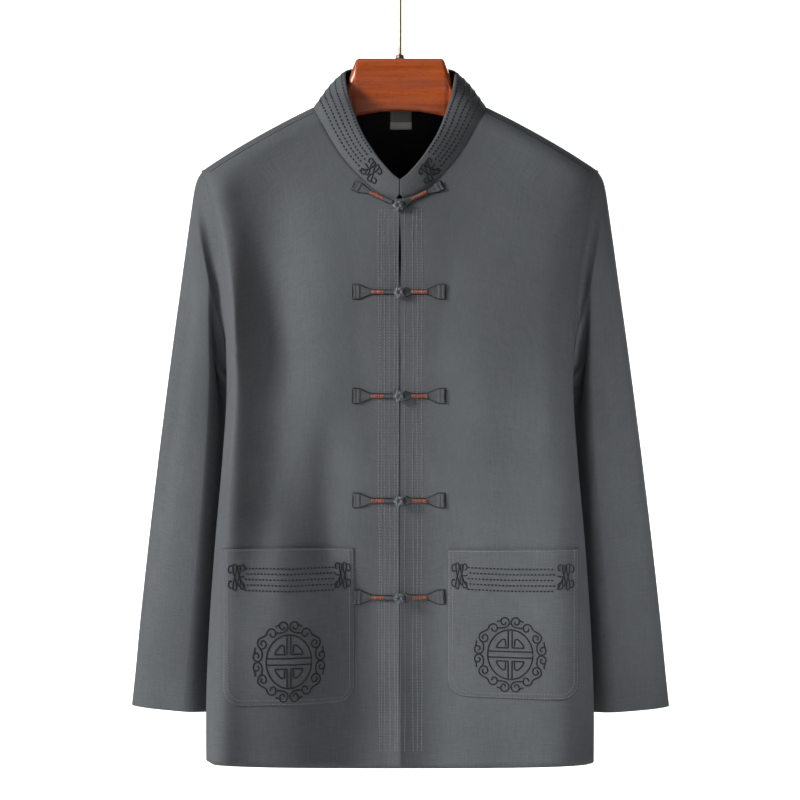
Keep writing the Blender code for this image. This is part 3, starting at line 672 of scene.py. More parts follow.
def ring_faces(rows, sides):
    """Quads between rings of an even number of points, and rows of quads that close the ends."""
    index = np.arange(rows * sides).reshape(rows, sides)
    faces = [grid_faces(np.hstack([index, index[:, :1]]))]
    for ring in (index[0, ::-1], index[-1]):
        low, high = ring[: sides // 2], ring[sides // 2 :][::-1]
        faces.append(np.stack([low[:-1], low[1:], high[1:], high[:-1]], axis=1))
    return np.concatenate(faces)


def join(parts):
    """One list of points and one of faces from several."""
    points, faces, start = [], [], 0
    for part_points, part_faces in parts:
        part_points = np.asarray(part_points).reshape(-1, 3)
        points.append(part_points)
        faces.append(np.asarray(part_faces) + start)
        start += len(part_points)
    return np.concatenate(points), np.concatenate(faces)


def linear(hex_color):
    """sRGB hex to the linear colour that shaders use."""
    value = np.array([int(hex_color[i : i + 2], 16) for i in (1, 3, 5)]) / 255.0
    return (*np.where(value <= 0.04045, value / 12.92, ((value + 0.055) / 1.055) ** 2.4), 1.0)


# Materials


def every(size):
    """A scale at which a noise, or a Mapping before it, repeats about every so many millimetres."""
    return 1000.0 / size


def bands(size):
    """A Wave Texture's scale for bands of so many millimetres: its sine runs 20 times as fast."""
    return 1000.0 * TAU / 20.0 / size


def blank(name, finish):
    """A Principled material with its finish set, and the function that adds its nodes."""
    material = bpy.data.materials.new(name)
    material.use_nodes = True
    tree = material.node_tree

    def add(kind, inputs, output=0, **settings):
        """Adds a node with its settings and links, and returns one of its outputs.

        An input is a number, an sRGB hex colour or another node's output. The kind "Finish" is
        the shader that the material starts with.
        """
        start = tree.nodes["Principled BSDF"]
        node = start if kind == "Finish" else tree.nodes.new("ShaderNode" + kind)
        for key, value in settings.items():
            setattr(node, key, value)
        for key, value in inputs.items():
            if isinstance(value, bpy.types.NodeSocket):
                tree.links.new(value, node.inputs[key])
            else:
                node.inputs[key].default_value = linear(value) if isinstance(value, str) else value
        return node.outputs[output]

    add("Finish", finish)
    return material, add


def cloth_material(name, dark, light, fleck, yarn=0.85):
    """Wool-blend suiting: yarns spun from light and dark fibre, woven plainly and pressed.

    Each yarn keeps its tone for a few centimetres, so the cloth shows fine broken lines both
    ways; it is matt, with a slight bloom of fibre ends at grazing angles. Real yarns lie about
    0.4 mm apart, too fine to show, so the weave is drawn 0.85 mm and its lines 1.3 mm wide.
    """
    material, add = blank(
        name,
        {"Roughness": 0.84, "Specular IOR Level": 0.28, "Sheen Weight": 0.05,
         "Sheen Roughness": 0.5, "Sheen Tint": light},
    )
    cloth = add("UVMap", {}, uv_map="cloth")
    spot = add("TexCoord", {}, "Object")
    along = add("Mapping", {"Vector": cloth, "Scale": (every(1.3), every(30.0), 1.0)})
    across = add("Mapping", {"Vector": cloth, "Scale": (every(24.0), every(1.3), 1.0)})
    warp = add("TexNoise", {"Vector": along, "Scale": 1.0, "Detail": 3.0, "Roughness": 0.7})
    weft = add("TexNoise", {"Vector": across, "Scale": 1.0, "Detail": 3.0, "Roughness": 0.7})
    yarns = add("Math", {0: warp, 1: weft}, operation="ADD")
    tone = add("MapRange", {0: yarns, 1: 0.42, 2: 1.58})
    base = add("Mix", {0: tone, 6: dark, 7: light}, 2, data_type="RGBA")
    tufts = add(
        "TexNoise", {"Vector": spot, "Scale": every(1.11), "Detail": 2.0, "Roughness": 0.6}
    )
    fuzz = add("MapRange", {0: tufts, 1: 0.58, 2: 0.74, 4: 0.25})
    base = add("Mix", {0: fuzz, 6: base, 7: fleck}, 2, data_type="RGBA")
    press = add(
        "TexNoise", {"Vector": spot, "Scale": every(111.0), "Detail": 2.0, "Roughness": 0.6}
    )
    cloud = add("MapRange", {0: press, 1: 0.35, 2: 0.65, 3: 0.93, 4: 1.05})
    shade = add("CombineColor", {0: cloud, 1: cloud, 2: cloud})
    color = add(
        "Mix", {0: 1.0, 6: base, 7: shade}, 2, data_type="RGBA", blend_type="MULTIPLY"
    )
    turns = every(yarn) * TAU / 2
    weave = add("Mapping", {"Vector": cloth, "Scale": (turns, turns, 1.0)})
    parts = add("SeparateXYZ", {0: weave}).node.outputs
    over = add("Math", {0: parts[0]}, operation="SINE")
    under = add("Math", {0: parts[1]}, operation="SINE")
    cross = add("Math", {0: over, 1: under}, operation="MULTIPLY")
    height = add("Math", {0: cross, 1: 0.5, 2: yarns}, operation="MULTIPLY_ADD")
    bump = add("Bump", {"Height": height, "Strength": 0.3, "Distance": 0.0003})  # metres
    add("Finish", {"Base Color": color, "Normal": bump})
    return material


def lining_and_shade_material():
    """Acetate lining: filament yarn in a close twill, black with a soft satin gleam.

    The twill's ridges lie 0.35 mm apart at a slant. Its black is taken nearly to none, darker than
    black cloth, as painted shade for the hollows inside the jacket.
    """
    material, add = blank("black acetate twill with painted shade", {"Roughness": 0.5, "Specular IOR Level": 0.12})
    cloth = add("UVMap", {}, uv_map="cloth")
    slant = add("Mapping", {"Vector": cloth, "Rotation": (0.0, 0.0, 0.9)})
    line = add("TexWave", {"Vector": slant, "Scale": bands(0.35), "Distortion": 1.5})
    # the lining's own black, taken darker still as painted shade for the hollows inside
    color = add("Mix", {0: line, 6: "#060707", 7: "#0c0d0e"}, 2, data_type="RGBA")
    bump = add("Bump", {"Height": line, "Strength": 0.2, "Distance": 0.0002})
    add("Finish", {"Base Color": color, "Normal": bump})
    return material


def thread_material(name, dark, light, ply, roughness, depth=0.6):
    """Plied thread: two or three plies twisted together, which show as short slanting ridges.

    The ridges are ply millimetres apart, and the dye's tone wanders every few millimetres. The
    ridges are also painted lighter and the grooves darker: painted highlight and shade.
    """
    material, add = blank(
        name, {"Roughness": roughness, "Specular IOR Level": 0.35, "Sheen Weight": 0.15}
    )
    spot = add("TexCoord", {}, "Object")
    slant = add("Mapping", {"Vector": spot, "Rotation": (0.0, 0.7, 0.4)})
    plies = add(
        "TexWave", {"Vector": slant, "Scale": bands(ply), "Distortion": 1.2, "Detail": 1.0}
    )
    dye = add(
        "TexNoise", {"Vector": spot, "Scale": every(3.85), "Detail": 2.0, "Roughness": 0.6}
    )
    tone = add("Math", {0: plies, 1: dye}, operation="ADD")
    share = add("MapRange", {0: tone, 1: 0.4, 2: 1.6})
    # dark to light by the plies' wave, the one that bumps them: painted highlight on the ridges and
    # painted shade in the grooves; the dye's part is the thread's own tone
    color = add("Mix", {0: share, 6: dark, 7: light}, 2, data_type="RGBA")
    bump = add("Bump", {"Height": plies, "Strength": depth, "Distance": 0.0002})
    add("Finish", {"Base Color": color, "Normal": bump})
    return material


def wound_material():
    """Glossy rayon thread wound closely round a cord, each turn a fine ridge.

    Each turn's crown is painted lighter and the gap between painted darker, as painted highlight
    and shade, and a few random streaks are painted paler still, as painted highlights.
    Real turns are some 0.5 mm wide, too fine to show, so they are drawn 1.9 mm wide.
    """
    material, add = blank("wound rust rayon", {"Roughness": 0.38, "Sheen Weight": 0.2})
    spot = add("TexCoord", {}, "Object")
    around = add("Mapping", {"Vector": spot, "Scale": (1.0, 0.12, 0.12)})
    turns = add(
        "TexWave", {"Vector": around, "Scale": bands(1.9), "Distortion": 1.0, "Detail": 1.0}
    )
    streak = add("Mapping", {"Vector": spot, "Scale": (every(1.43), every(11.1), every(11.1))})
    tone = add("TexNoise", {"Vector": streak, "Scale": 1.0, "Detail": 3.0, "Roughness": 0.6})
    # crowns painted light and gaps painted dark by the turns' own wave: painted highlight and shade
    base = add("Mix", {0: turns, 6: "#4d2216", 7: "#9a5038"}, 2, data_type="RGBA")
    # a few random streaks painted paler still: painted highlights
    painted_glint = add("MapRange", {0: tone, 1: 0.55, 2: 0.75})
    color = add("Mix", {0: painted_glint, 6: base, 7: "#bd8464"}, 2, data_type="RGBA")
    bump = add("Bump", {"Height": turns, "Strength": 0.7, "Distance": 0.0004})
    add("Finish", {"Base Color": color, "Normal": bump})
    return material


def label_material():
    """Woven damask label: satin polyester, a dark ground above and a paler band below, no mark.

    Its picks lie 0.45 mm apart and show as faint level lines.
    """
    material, add = blank("damask polyester", {"Roughness": 0.45})
    spot = add("TexCoord", {}, "Object")
    height = add("SeparateXYZ", {0: spot}, 2)
    edge = (LABEL_BAND_H - HEM_DROP) * 0.001
    band = add("MapRange", {0: height, 1: edge - 0.0005, 2: edge})
    line = add(
        "TexWave",
        {"Vector": spot, "Scale": bands(0.45), "Distortion": 0.6},
        bands_direction="Z",
    )
    ground = add("Mix", {0: line, 6: "#6e6e71", 7: "#98989b"}, 2, data_type="RGBA")
    pale = add("Mix", {0: line, 6: "#c4c2bd", 7: "#e8e6e1"}, 2, data_type="RGBA")
    color = add("Mix", {0: band, 6: pale, 7: ground}, 2, data_type="RGBA")
    bump = add("Bump", {"Height": line, "Strength": 0.3, "Distance": 0.0002})
    add("Finish", {"Base Color": color, "Normal": bump})
    return material


def wood_material():
    """Steamed beech, turned and sanded, stained mahogany and lacquered.

    Fine long grain shows, some 10 mm wide and 200 mm long, with short dark pores where the stain
    sits deeper; they are drawn 0.7 mm wide, as real ones are too fine. The lacquer is glossy.
    """
    material, add = blank(
        "stained beech", {"Roughness": 0.45, "Coat Weight": 0.35, "Coat Roughness": 0.2}
    )
    spot = add("TexCoord", {}, "Object")
    bend = add(
        "TexNoise", {"Vector": spot, "Scale": every(333.0), "Detail": 2.0, "Roughness": 0.6}
    )
    long = add("Mapping", {"Vector": spot, "Scale": (every(200.0), every(11.1), every(9.09))})
    grain = add(
        "TexNoise",
        {"Vector": long, "Scale": 1.0, "Detail": 6.0, "Roughness": 0.65, "Distortion": 0.35},
    )
    short = add("Mapping", {"Vector": spot, "Scale": (every(5.88), every(0.667), every(0.667))})
    pores = add("TexNoise", {"Vector": short, "Scale": 1.0, "Detail": 2.0, "Roughness": 0.6})
    figure = add("MapRange", {0: grain, 1: 0.32, 2: 0.70})
    base = add("Mix", {0: figure, 6: "#842e0c", 7: "#cb5f1b"}, 2, data_type="RGBA")
    deep = add("MapRange", {0: bend, 1: 0.35, 2: 0.65, 4: 0.35})
    base = add("Mix", {0: deep, 6: base, 7: "#a04413"}, 2, data_type="RGBA")
    dark = add("MapRange", {0: pores, 1: 0.60, 2: 0.70, 4: 0.65})
    color = add("Mix", {0: dark, 6: base, 7: "#3c1208"}, 2, data_type="RGBA")
    height = add("Math", {0: pores, 1: -0.6, 2: grain}, operation="MULTIPLY_ADD")
    bump = add("Bump", {"Height": height, "Strength": 0.18, "Distance": 0.0004})
    add("Finish", {"Base Color": color, "Normal": bump})
    return material


def brass_material():
    """Drawn brass wire, lacquered and a little dull: fine lines along it and faint spots.

    The lines are 0.4 mm wide and 17 mm long, and the spots 7 mm across.
    """
    material, add = blank("drawn brass", {"Metallic": 1.0})
    spot = add("TexCoord", {}, "Object")
    drawn = add("Mapping", {"Vector": spot, "Scale": (every(0.385), every(0.385), every(16.7))})
    lines = add("TexNoise", {"Vector": drawn, "Scale": 1.0, "Detail": 2.0, "Roughness": 0.6})
    spots = add(
        "TexNoise", {"Vector": spot, "Scale": every(6.67), "Detail": 4.0, "Roughness": 0.6}
    )
    dull = add("MapRange", {0: spots, 1: 0.40, 2: 0.66})
    color = add("Mix", {0: dull, 6: "#c2b091", 7: "#8e7c5d"}, 2, data_type="RGBA")
    both = add("Math", {0: lines, 1: spots}, operation="ADD")
    rough = add("MapRange", {0: both, 1: 0.7, 2: 1.3, 3: 0.22, 4: 0.44})
    bump = add("Bump", {"Height": lines, "Strength": 0.12, "Distance": 0.0001})
    add("Finish", {"Base Color": color, "Roughness": rough, "Normal": bump})
    return material


def backdrop_material():
    """Painted studio board: matt white, with a very faint mottle some 500 mm across."""
    material, add = blank(
        "painted board",
        {"Roughness": 0.9, "Emission Color": "#ffffff", "Emission Strength": 0.12},
    )
    spot = add("TexCoord", {}, "Object")
    mottle = add(
        "TexNoise", {"Vector": spot, "Scale": every(500.0), "Detail": 2.0, "Roughness": 0.6}
    )
    color = add("Mix", {0: mottle, 6: "#f4f4f4", 7: "#ffffff"}, 2, data_type="RGBA")
    add("Finish", {"Base Color": color})
    return material


SUITING = cloth_material("wool blend suiting", "#4a4d50", "#64676a", "#85888b")
TRIM = cloth_material("wool blend trim", "#3d3f41", "#5f6264", "#85888b", yarn=0.6)
LINING_AND_SHADE = lining_and_shade_material()
BLACK_THREAD = thread_material("black cotton thread", "#070809", "#141618", 0.565, 0.5)
GREY_THREAD = thread_material("grey cotton thread", "#4f5254", "#969a9c", 0.47, 0.45)
# a darker copy of the cord: painted shade for the cords right of the knots, away from the light
CORD_IN_PAINTED_SHADE = thread_material("rayon cord in painted shade", "#26282a", "#55585b", 0.85, 0.30, 0.3)
# its pale end, much lighter than the cord's grey, is painted highlight on the knot's ply ridges
KNOT_CORD = thread_material("grey rayon cord", "#2d3032", "#7d8185", 0.85, 0.26, 0.25)
WOUND = wound_material()
LABEL = label_material()
WOOD = wood_material()
BRASS = brass_material()


# Jacket


def rolled(points, inward, row_edges=(), column_edges=(), depth=1.0, reach=3.5):
    """Points moved inwards near the named edges.

    They move by depth times a bell: exp of minus the squared distance from the edge over reach.
    """
    fall = np.zeros(points.shape[:2])
    across = np.cumsum(np.linalg.norm(np.diff(points, axis=1, prepend=points[:, :1]), axis=-1), 1)
    along = np.cumsum(np.linalg.norm(np.diff(points, axis=0, prepend=points[:1]), axis=-1), 0)
    for edge in row_edges:
        fall = np.maximum(fall, np.exp(-(((along - along[edge][None]) / reach) ** 2)))
    for edge in column_edges:
        fall = np.maximum(fall, np.exp(-(((across - across[:, edge][:, None]) / reach) ** 2)))
    return points + inward * (depth * fall)[..., None]


def inward_of(points, back):
    """A panel's unit normals, turned to the inside of the jacket.

    At the shoulder's tip, where a panel's corner is pinched, they take the normal beside it.
    """
    inward = normals_of(points)
    inward[-3:, -3:] = inward[-4:-3, -4:-3]
    row, col = len(points) // 3, points.shape[1] // 3
    return inward * np.sign(inward[row, col, 1] * (-1.0 if back else 1.0))


def make_fronts():
    """The two fronts. Their edges in the middle stand apart by a gap that changes with height.

    Points are moved aside by the gap's half there, times a bell of their distance from the
    middle. It opens most below the top frog, by another bell, and a little lower down.
    """
    for side, piece in ((-1, "front_left"), (1, "front_right")):
        points = panel_grid(piece, side, False, 84, 130)
        points = rolled(points, inward_of(points, False), (-1,), (-1,))
        heights = points[:, :1, 2]
        half_gap = 0.12 + 1.15 * np.exp(-(((heights - 572.0) / 36.0) ** 2))
        half_gap += 0.45 * smooth((500.0 - heights) / 40.0) * smooth((heights - 40.0) / 60.0)
        points[..., 0] += side * half_gap * np.exp(-((points[..., 0] / 14.0) ** 2))
        obj = surface(piece + "_cloth", points, [SUITING, LINING_AND_SHADE], to_front)
        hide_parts(piece)


def make_back():
    """The back in one piece, from two mirrored halves whose creases differ."""
    halves = []
    for side in (-1, 1):
        points = panel_grid("back", side, True, 66, 120)
        halves.append(rolled(points, inward_of(points, True), (-1,), (-1,)))
    points = np.hstack([halves[0][:, ::-1], halves[1][:, 1:]])
    obj = surface("back_cloth", points, [SUITING, LINING_AND_SHADE], to_back)
    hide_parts("back")


def make_sleeves():
    """The two sleeves, each a tube of cloth round its rings."""
    for side, piece in ((-1, "sleeve_left"), (1, "sleeve_right")):
        rings = sleeve_rings(piece, side, 96, 130)

        def outward(centres, middles=place(rings.mean(axis=1))):
            """The direction of each face away from the nearest ring's middle."""
            away = np.linalg.norm(centres[:, None] - middles[None], axis=-1)
            return centres - middles[np.argmin(away, axis=1)]

        obj = surface(piece + "_cloth", rings, [SUITING, LINING_AND_SHADE], outward, wrap=True)
        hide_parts(piece)


def make_collar():
    """The stand collar, from two mirrored halves that meet at the back.

    Its lowest rows turn in over the seam by a bell of their height. Between the ends in front a
    notch opens towards the foot, by a soft step of the height times a bell of the station.
    """
    front = np.linspace(0.0, NECK_SIDE_STATION, 66)
    behind = np.linspace(NECK_SIDE_STATION, NECK_BACK_STATION, 40)[1:]
    stations = np.concatenate([front, behind])
    up = np.linspace(-0.05, 1.0, 17)[:, None]
    width, seam_reach = 44.0, 3.0
    halves = []
    for side in (-1, 1):
        spots = np.broadcast_to(stations, (17, len(stations)))
        points, out = collar_at(spots, up + 0 * stations, side)
        points -= out * np.exp(-((up * width / seam_reach) ** 2))[..., None]
        points[:, 0, 0] = side * 0.35
        notch = 3.4 * smooth((0.22 - up) / 0.22) * np.exp(-((stations / 0.24) ** 2))
        points[..., 0] += side * notch
        halves.append(points)
    points = np.hstack([halves[0], halves[1][:, -2::-1]])
    obj = surface("collar_cloth", points, [SUITING, LINING_AND_SHADE], from_neck, COLLAR_CLOTH)
    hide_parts("collar")


def pocket_lift(name, x, height):
    """How far a pocket's face stands off the front.

    It is 0.9 mm at the sewn sides and foot and grows by a soft step to 2.1 mm within 5 mm. The
    mouth gapes by up to 1 mm more, by soft steps from the sides and from 60 mm below it.
    """
    row = POCKETS[name]
    sign = np.sign(row["outer_x"] - row["inner_x"])
    inside = np.minimum((x - row["inner_x"]) * sign, (row["outer_x"] - x) * sign)
    edge = np.minimum(inside, height - row["foot_h"])
    mouth = (row["inner_h"] + row["outer_h"]) / 2
    gape = smooth(inside / 40.0) * smooth((height - mouth + 60.0) / 60.0)
    return 0.9 + 1.2 * smooth(edge / 5.0) + 1.0 * gape


def make_pockets():
    """The two patch pockets on the fronts.

    Their lower corners are quarter circles: the sides come in by the radius less the root of
    its square less the squared distance below the circle's middle.
    """
    up = np.concatenate([np.linspace(0.0, 0.14, 16)[:-1], np.linspace(0.14, 1.0, 40)])[:, None]
    across = np.linspace(0.0, 1.0, 50)[None, :]
    for name, row in POCKETS.items():
        mouth = between((row["inner_h"], row["outer_h"]), across)
        height = row["foot_h"] + (mouth - row["foot_h"]) * up
        rise = np.clip((height - row["foot_h"]) / POCKET_CORNER, 0.0, 1.0)
        inset = POCKET_CORNER * (1.0 - np.sqrt(1.0 - (1.0 - rise) ** 2))
        inset = inset * np.sign(row["outer_x"] - row["inner_x"])
        x = between((row["inner_x"] + inset, row["outer_x"] - inset), across)
        points, _ = front_at(x, height, pocket_lift(name, x, height))
        obj = surface(name + "_cloth", points, [SUITING, LINING_AND_SHADE], to_front, POCKET_CLOTH)
        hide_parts(name)


def make_label():
    """The label inside the back's neckline, bowed forward along half a sine's wave."""
    columns, rows, tall = 12, 10, 25.0
    across = np.linspace(-11.5, 13.5, columns)[None, :]
    height = 722.5 + tall * np.linspace(0.0, 1.0, rows)[:, None] + 0.0 * across
    angle = angle_at(np.abs(across) + 0.0 * height, height, True)
    points = body_point("back", np.where(across < 0, -1.0, 1.0), angle, height)
    off_the_lining = CLOTH + 0.65
    points[..., 1] -= off_the_lining
    points[..., 1] -= 0.25 * np.sin(np.linspace(0.0, np.pi, columns))[None, :]
    obj = surface("label_cloth", points, [LABEL], to_front, LABEL_CLOTH)
    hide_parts("label")


# Thread


def threads(name, paths, on, width, height, material, lift=0.0, sides=6):
    """Raised threads along paths with the same number of points each.

    on(x, height, lift) gives the points and outward directions. A thread's section is half an
    oval, by the cosine across and the sine up, narrower at both ends.
    """
    paths = np.asarray(paths, float)
    count, length = paths.shape[:2]
    centre, out = on(paths[..., 0], paths[..., 1], np.full(paths.shape[:2], lift))
    along = unit(np.gradient(centre, axis=1))
    beside = unit(np.cross(along, out))
    from_end = np.minimum(np.arange(length), np.arange(length)[::-1])
    taper = np.clip(from_end + 0.45, 0.0, 1.0)
    angle = np.linspace(-0.35, np.pi + 0.35, sides)
    c, s = np.cos(angle), np.sin(angle)
    rings = centre[:, :, None] + taper[None, :, None, None] * (
        beside[:, :, None] * (c * width / 2)[None, None, :, None]
        + out[:, :, None] * (s * height)[None, None, :, None]
    )
    faces = ring_faces(length, sides) + np.arange(count)[:, None, None] * (length * sides)
    obj = build(name, rings.reshape(-1, 3), faces.reshape(-1, 4), None, [material])
    fix_normals(obj)
    return obj


def fix_normals(obj):
    """Faces of closed pieces turned outwards."""
    shape = bmesh.new()
    shape.from_mesh(obj.data)
    bmesh.ops.recalc_face_normals(shape, faces=shape.faces)
    shape.to_mesh(obj.data)
    shape.free()


def lengths(points):
    """Distance along a line up to each of its points: the sum of the steps before it."""
    return np.concatenate([[0.0], np.cumsum(np.linalg.norm(np.diff(points, axis=0), axis=1))])


def dashes(points, stitch, gap, count=4):
    """A line cut into stitches of one length with gaps between, each of count points."""
    points = np.asarray(points, float)
    length = lengths(points)
    starts = np.arange(0.0, length[-1] - stitch, stitch + gap)
    spots = starts[:, None] + np.linspace(0.0, stitch, count)[None, :]
    return np.stack([np.interp(spots, length, points[:, i]) for i in (0, 1)], axis=-1)


def resampled(points, count):
    """A line's points, spread evenly over its length."""
    points = np.asarray(points, float)
    length = lengths(points)
    spots = np.linspace(0.0, length[-1], count)
    return np.stack([np.interp(spots, length, points[:, i]) for i in (0, 1)], axis=-1)


def spiral(centre, start, turn, outer, inner, count=20):
    """A curl inwards from an angle: its radius shrinks with the square of the turn."""
    t = np.linspace(0.0, 1.0, count)
    angle, radius = start + turn * t, outer + (inner - outer) * t**2
    return np.stack([centre[0] + radius * np.cos(angle), centre[1] + radius * np.sin(angle)], -1)


# A quarter of the border: each line's knots by curl, distance outwards and distance onwards.
SCROLLS = (
    (
        (2, -0.5, -0.9), (1, -1.05, 0.75), (1, -1.0, -0.1), (1, -0.5, -0.9), (1, 0.3, -0.95),
        (1, 0.95, -0.35), (1, 0.9, 0.5), (1, 0.25, 0.85), (1, -0.4, 0.5), (1, -0.35, -0.1),
        (1, 0.1, -0.2),
    ),
    ((1, 0.75, 0.65), (1, 0.5, 1.1), (1, 0.45, 1.8)),
    (
        (2, 0.25, 0.05), (2, 0.05, 0.4), (2, -0.4, 0.35), (2, -0.8, -0.1), (2, -0.6, -0.75),
        (2, 0.15, -1.0), (2, 0.85, -0.5), (2, 1.0, 0.35), (2, 0.6, 1.1), (3, 0.5, -1.1),
        (3, 0.95, -0.4), (3, 0.95, 0.4), (3, 0.3, 1.0), (4, -0.75, -1.35), (4, -1.05, -0.4),
        (4, -0.8, 0.6), (4, 0.0, 1.0), (4, 0.8, 0.6), (4, 0.95, -0.2), (4, 0.4, -0.65),
        (4, -0.25, -0.35), (4, -0.2, 0.2), (4, 0.2, 0.15),
    ),
    ((4, 0.9, -0.4), (4, 0.75, -1.0), (4, 0.8, -1.7)),
    (
        (3, 0.3, 1.0), (3, -0.45, 0.95), (3, -1.0, 0.4), (3, -0.95, -0.35), (3, -0.4, -0.7),
        (3, 0.2, -0.4), (3, 0.2, 0.2), (3, -0.3, 0.35),
    ),
)
CURL = 0.19  # a curl's radius
CURL_PLACES = (10.4, 35.9, 59.7, 81.8)  # degrees from the top
CURL_REACHES = (1.32, 1.29, 1.37, 1.40)


def medallion():
    """A round fret inside running scrolls, on a unit where the fret's ring is 1.

    The border's line winds outside one curl and inside the next, and each curl turns inwards.
    """
    turn = np.linspace(0.0, TAU, 73)
    lines = [np.stack([np.cos(turn), np.sin(turn)], -1)]
    for level in (-0.12, 0.12):
        reach = np.sqrt(1 - level**2)
        lines.append([(-reach, level), (reach, level)])
    key = ((0.085, 0.98), (0.085, 0.27), (0.62, 0.27), (0.54, 0.44), (0.34, 0.62), (0.21, 0.60))
    fret = np.array((*key, (0.19, 0.31)))
    places = np.radians(CURL_PLACES)
    middles = np.stack([np.sin(places), np.cos(places)], -1)
    onward = np.stack([np.cos(places), -np.sin(places)], -1)
    centres = middles * np.array(CURL_REACHES)[:, None]
    quarter = [fret]
    for line in SCROLLS:
        knots = np.array(line, float)
        curl = knots[:, 0].astype(int) - 1
        spots = centres[curl] + CURL * (middles[curl] * knots[:, 1:2] + onward[curl] * knots[:, 2:])
        length = lengths(spots)
        quarter.append(through(length, spots, np.linspace(0.0, length[-1], 60)))
    for sx in (-1, 1):
        for sy in (-1, 1):
            lines += [np.asarray(line) * (sx, sy) for line in quarter]
    return lines


def knotwork(width, height):
    """An end ornament so wide and high: two upright loops crossed by curls and two strokes.

    A loop's way across goes with the sine of twice the turn and its way up with the cosine.
    """
    t = np.linspace(0.0, TAU, 60)
    lines = [
        np.stack([0.10 * np.sin(2 * t) + 0.14, 0.46 * np.cos(t)], -1),
        np.stack([0.08 * np.sin(2 * t) - 0.10, 0.36 * np.cos(t) + 0.05], -1),
        spiral((-0.30, 0.28), -0.4, 5.4, 0.15, 0.05, 24),
        spiral((-0.30, -0.28), 0.4, -5.4, 0.15, 0.05, 24),
        [(-0.44, 0.03), (-0.24, 0.0), (-0.05, 0.03)],
        [(-0.46, -0.44), (-0.34, -0.30), (-0.16, -0.06)],
        spiral((0.33, 0.24), 2.4, -4.6, 0.16, 0.06, 24),
        spiral((0.33, -0.22), -2.4, 4.6, 0.16, 0.06, 24),
    ]
    return [np.asarray(line) * (width, height) for line in lines]


def on_pocket(name):
    """A function that lifts points at x and height off the named pocket's face."""

    def on(x, height, lift):
        """Points lifted off the pocket, which itself stands off the front."""
        return front_at(x, height, lift + pocket_lift(name, x, height))

    return on


def make_embroidery():
    """Black embroidery on the pockets: a medallion under rows of dashes between end ornaments."""
    # The medallion's middle and half sizes, and where its rows of dashes start and end.
    marks = {
        "pocket_left": ((-124.8, 117.8), (24.8, 30.0), (-173.5, -73.0)),
        "pocket_right": ((123.9, 124.8), (25.0, 27.9), (76.5, 173.5)),
    }
    levels = (222.4, 216.3, 210.0, 203.8, 197.7)
    for name, (middle, halves, (low, high)) in marks.items():
        on = on_pocket(name)
        lines = [resampled(line, 60) * halves + middle for line in medallion()]
        threads(name + "_medallion", lines, on, 1.85, 0.8, BLACK_THREAD, 0.05)
        rows = []
        for i, level in enumerate(levels):
            start = (low + 2.0 * (i % 2), level)
            line = [start, ((low + high) / 2, level - 1.5), (high, level - 1.0)]
            rows.append(dashes(line, 2.5, 1.5))
        threads(name + "_dashes", np.concatenate(rows), on, 2.0, 0.9, BLACK_THREAD, 0.05)
        sign = np.sign(middle[0])
        outer_x = POCKETS[name]["outer_x"] - sign * 15.6
        inner_x = POCKETS[name]["inner_x"] + sign * 14.0
        knots = []
        for centre, turned in ((outer_x, sign), (inner_x, -sign)):
            for line in knotwork(19.5, 33.0):
                knots.append(resampled(line * (turned, 1.0), 30) + (centre, 212.8))
        threads(name + "_scrolls", knots, on, 1.6, 0.8, BLACK_THREAD, 0.05)


def make_stitching():
    """Tonal stitches, 2.5 to 2.7 mm long, down both front edges and round the pockets."""
    rows = []
    heights = np.linspace(12.0, 624.0, 40)
    for x in (-23.6, -20.8, -17.2, -11.6, -6.0, -2.4, 5.4, 14.6, 19.4, 24.4):
        drift = x + 0.5 * np.sin(heights / 37.0 + x)
        rows.append(dashes(np.stack([drift, heights], -1), 2.7, 0.7, 3))
    threads("front_edge_stitches", np.concatenate(rows), front_at, 1.3, 0.5, GREY_THREAD, 0.02)
    bend = np.linspace(0.0, np.pi / 2, 10)
    for name, row in POCKETS.items():
        sign = np.sign(row["outer_x"])
        rows = []
        for inset in (1.6, 6.2):
            inner, outer = row["inner_x"] + sign * inset, row["outer_x"] - sign * inset
            corner = POCKET_CORNER - inset
            aside = sign * corner * (1 - np.cos(bend))
            height = row["foot_h"] + inset + corner * (1 - np.sin(bend))
            first = np.stack([inner + aside, height], -1)
            last = np.stack([outer - aside, height], -1)[::-1]
            start, end = (inner, row["inner_h"] - 1.5), (outer, row["outer_h"] - 1.5)
            rows.append(dashes(np.concatenate([[start], first, last, [end]]), 2.5, 0.8, 3))
        start = (row["inner_x"] + sign * 2.0, row["inner_h"] - 2.2)
        end = (row["outer_x"] - sign * 2.0, row["outer_h"] - 2.2)
        rows.append(dashes([start, end], 2.5, 0.8, 3))
        on = on_pocket(name)
        threads(name + "_stitches", np.concatenate(rows), on, 0.9, 0.45, GREY_THREAD, 0.02)


def on_collar(side):
    """Maps millimetres along one half of the collar and the share of its height to points."""
    stations = np.linspace(0.0, NECK_BACK_STATION, 330)
    middle, _ = collar_at(stations, 0.5 + 0 * stations, side)
    length = lengths(middle)

    def on(along, up, lift):
        """Points lifted off the collar, at the stations where those lengths are reached."""
        station = np.interp(along, length, stations)
        point, out = collar_at(station, up, side)
        return point + out * np.asarray(lift)[..., None], out

    return on, length[-1]


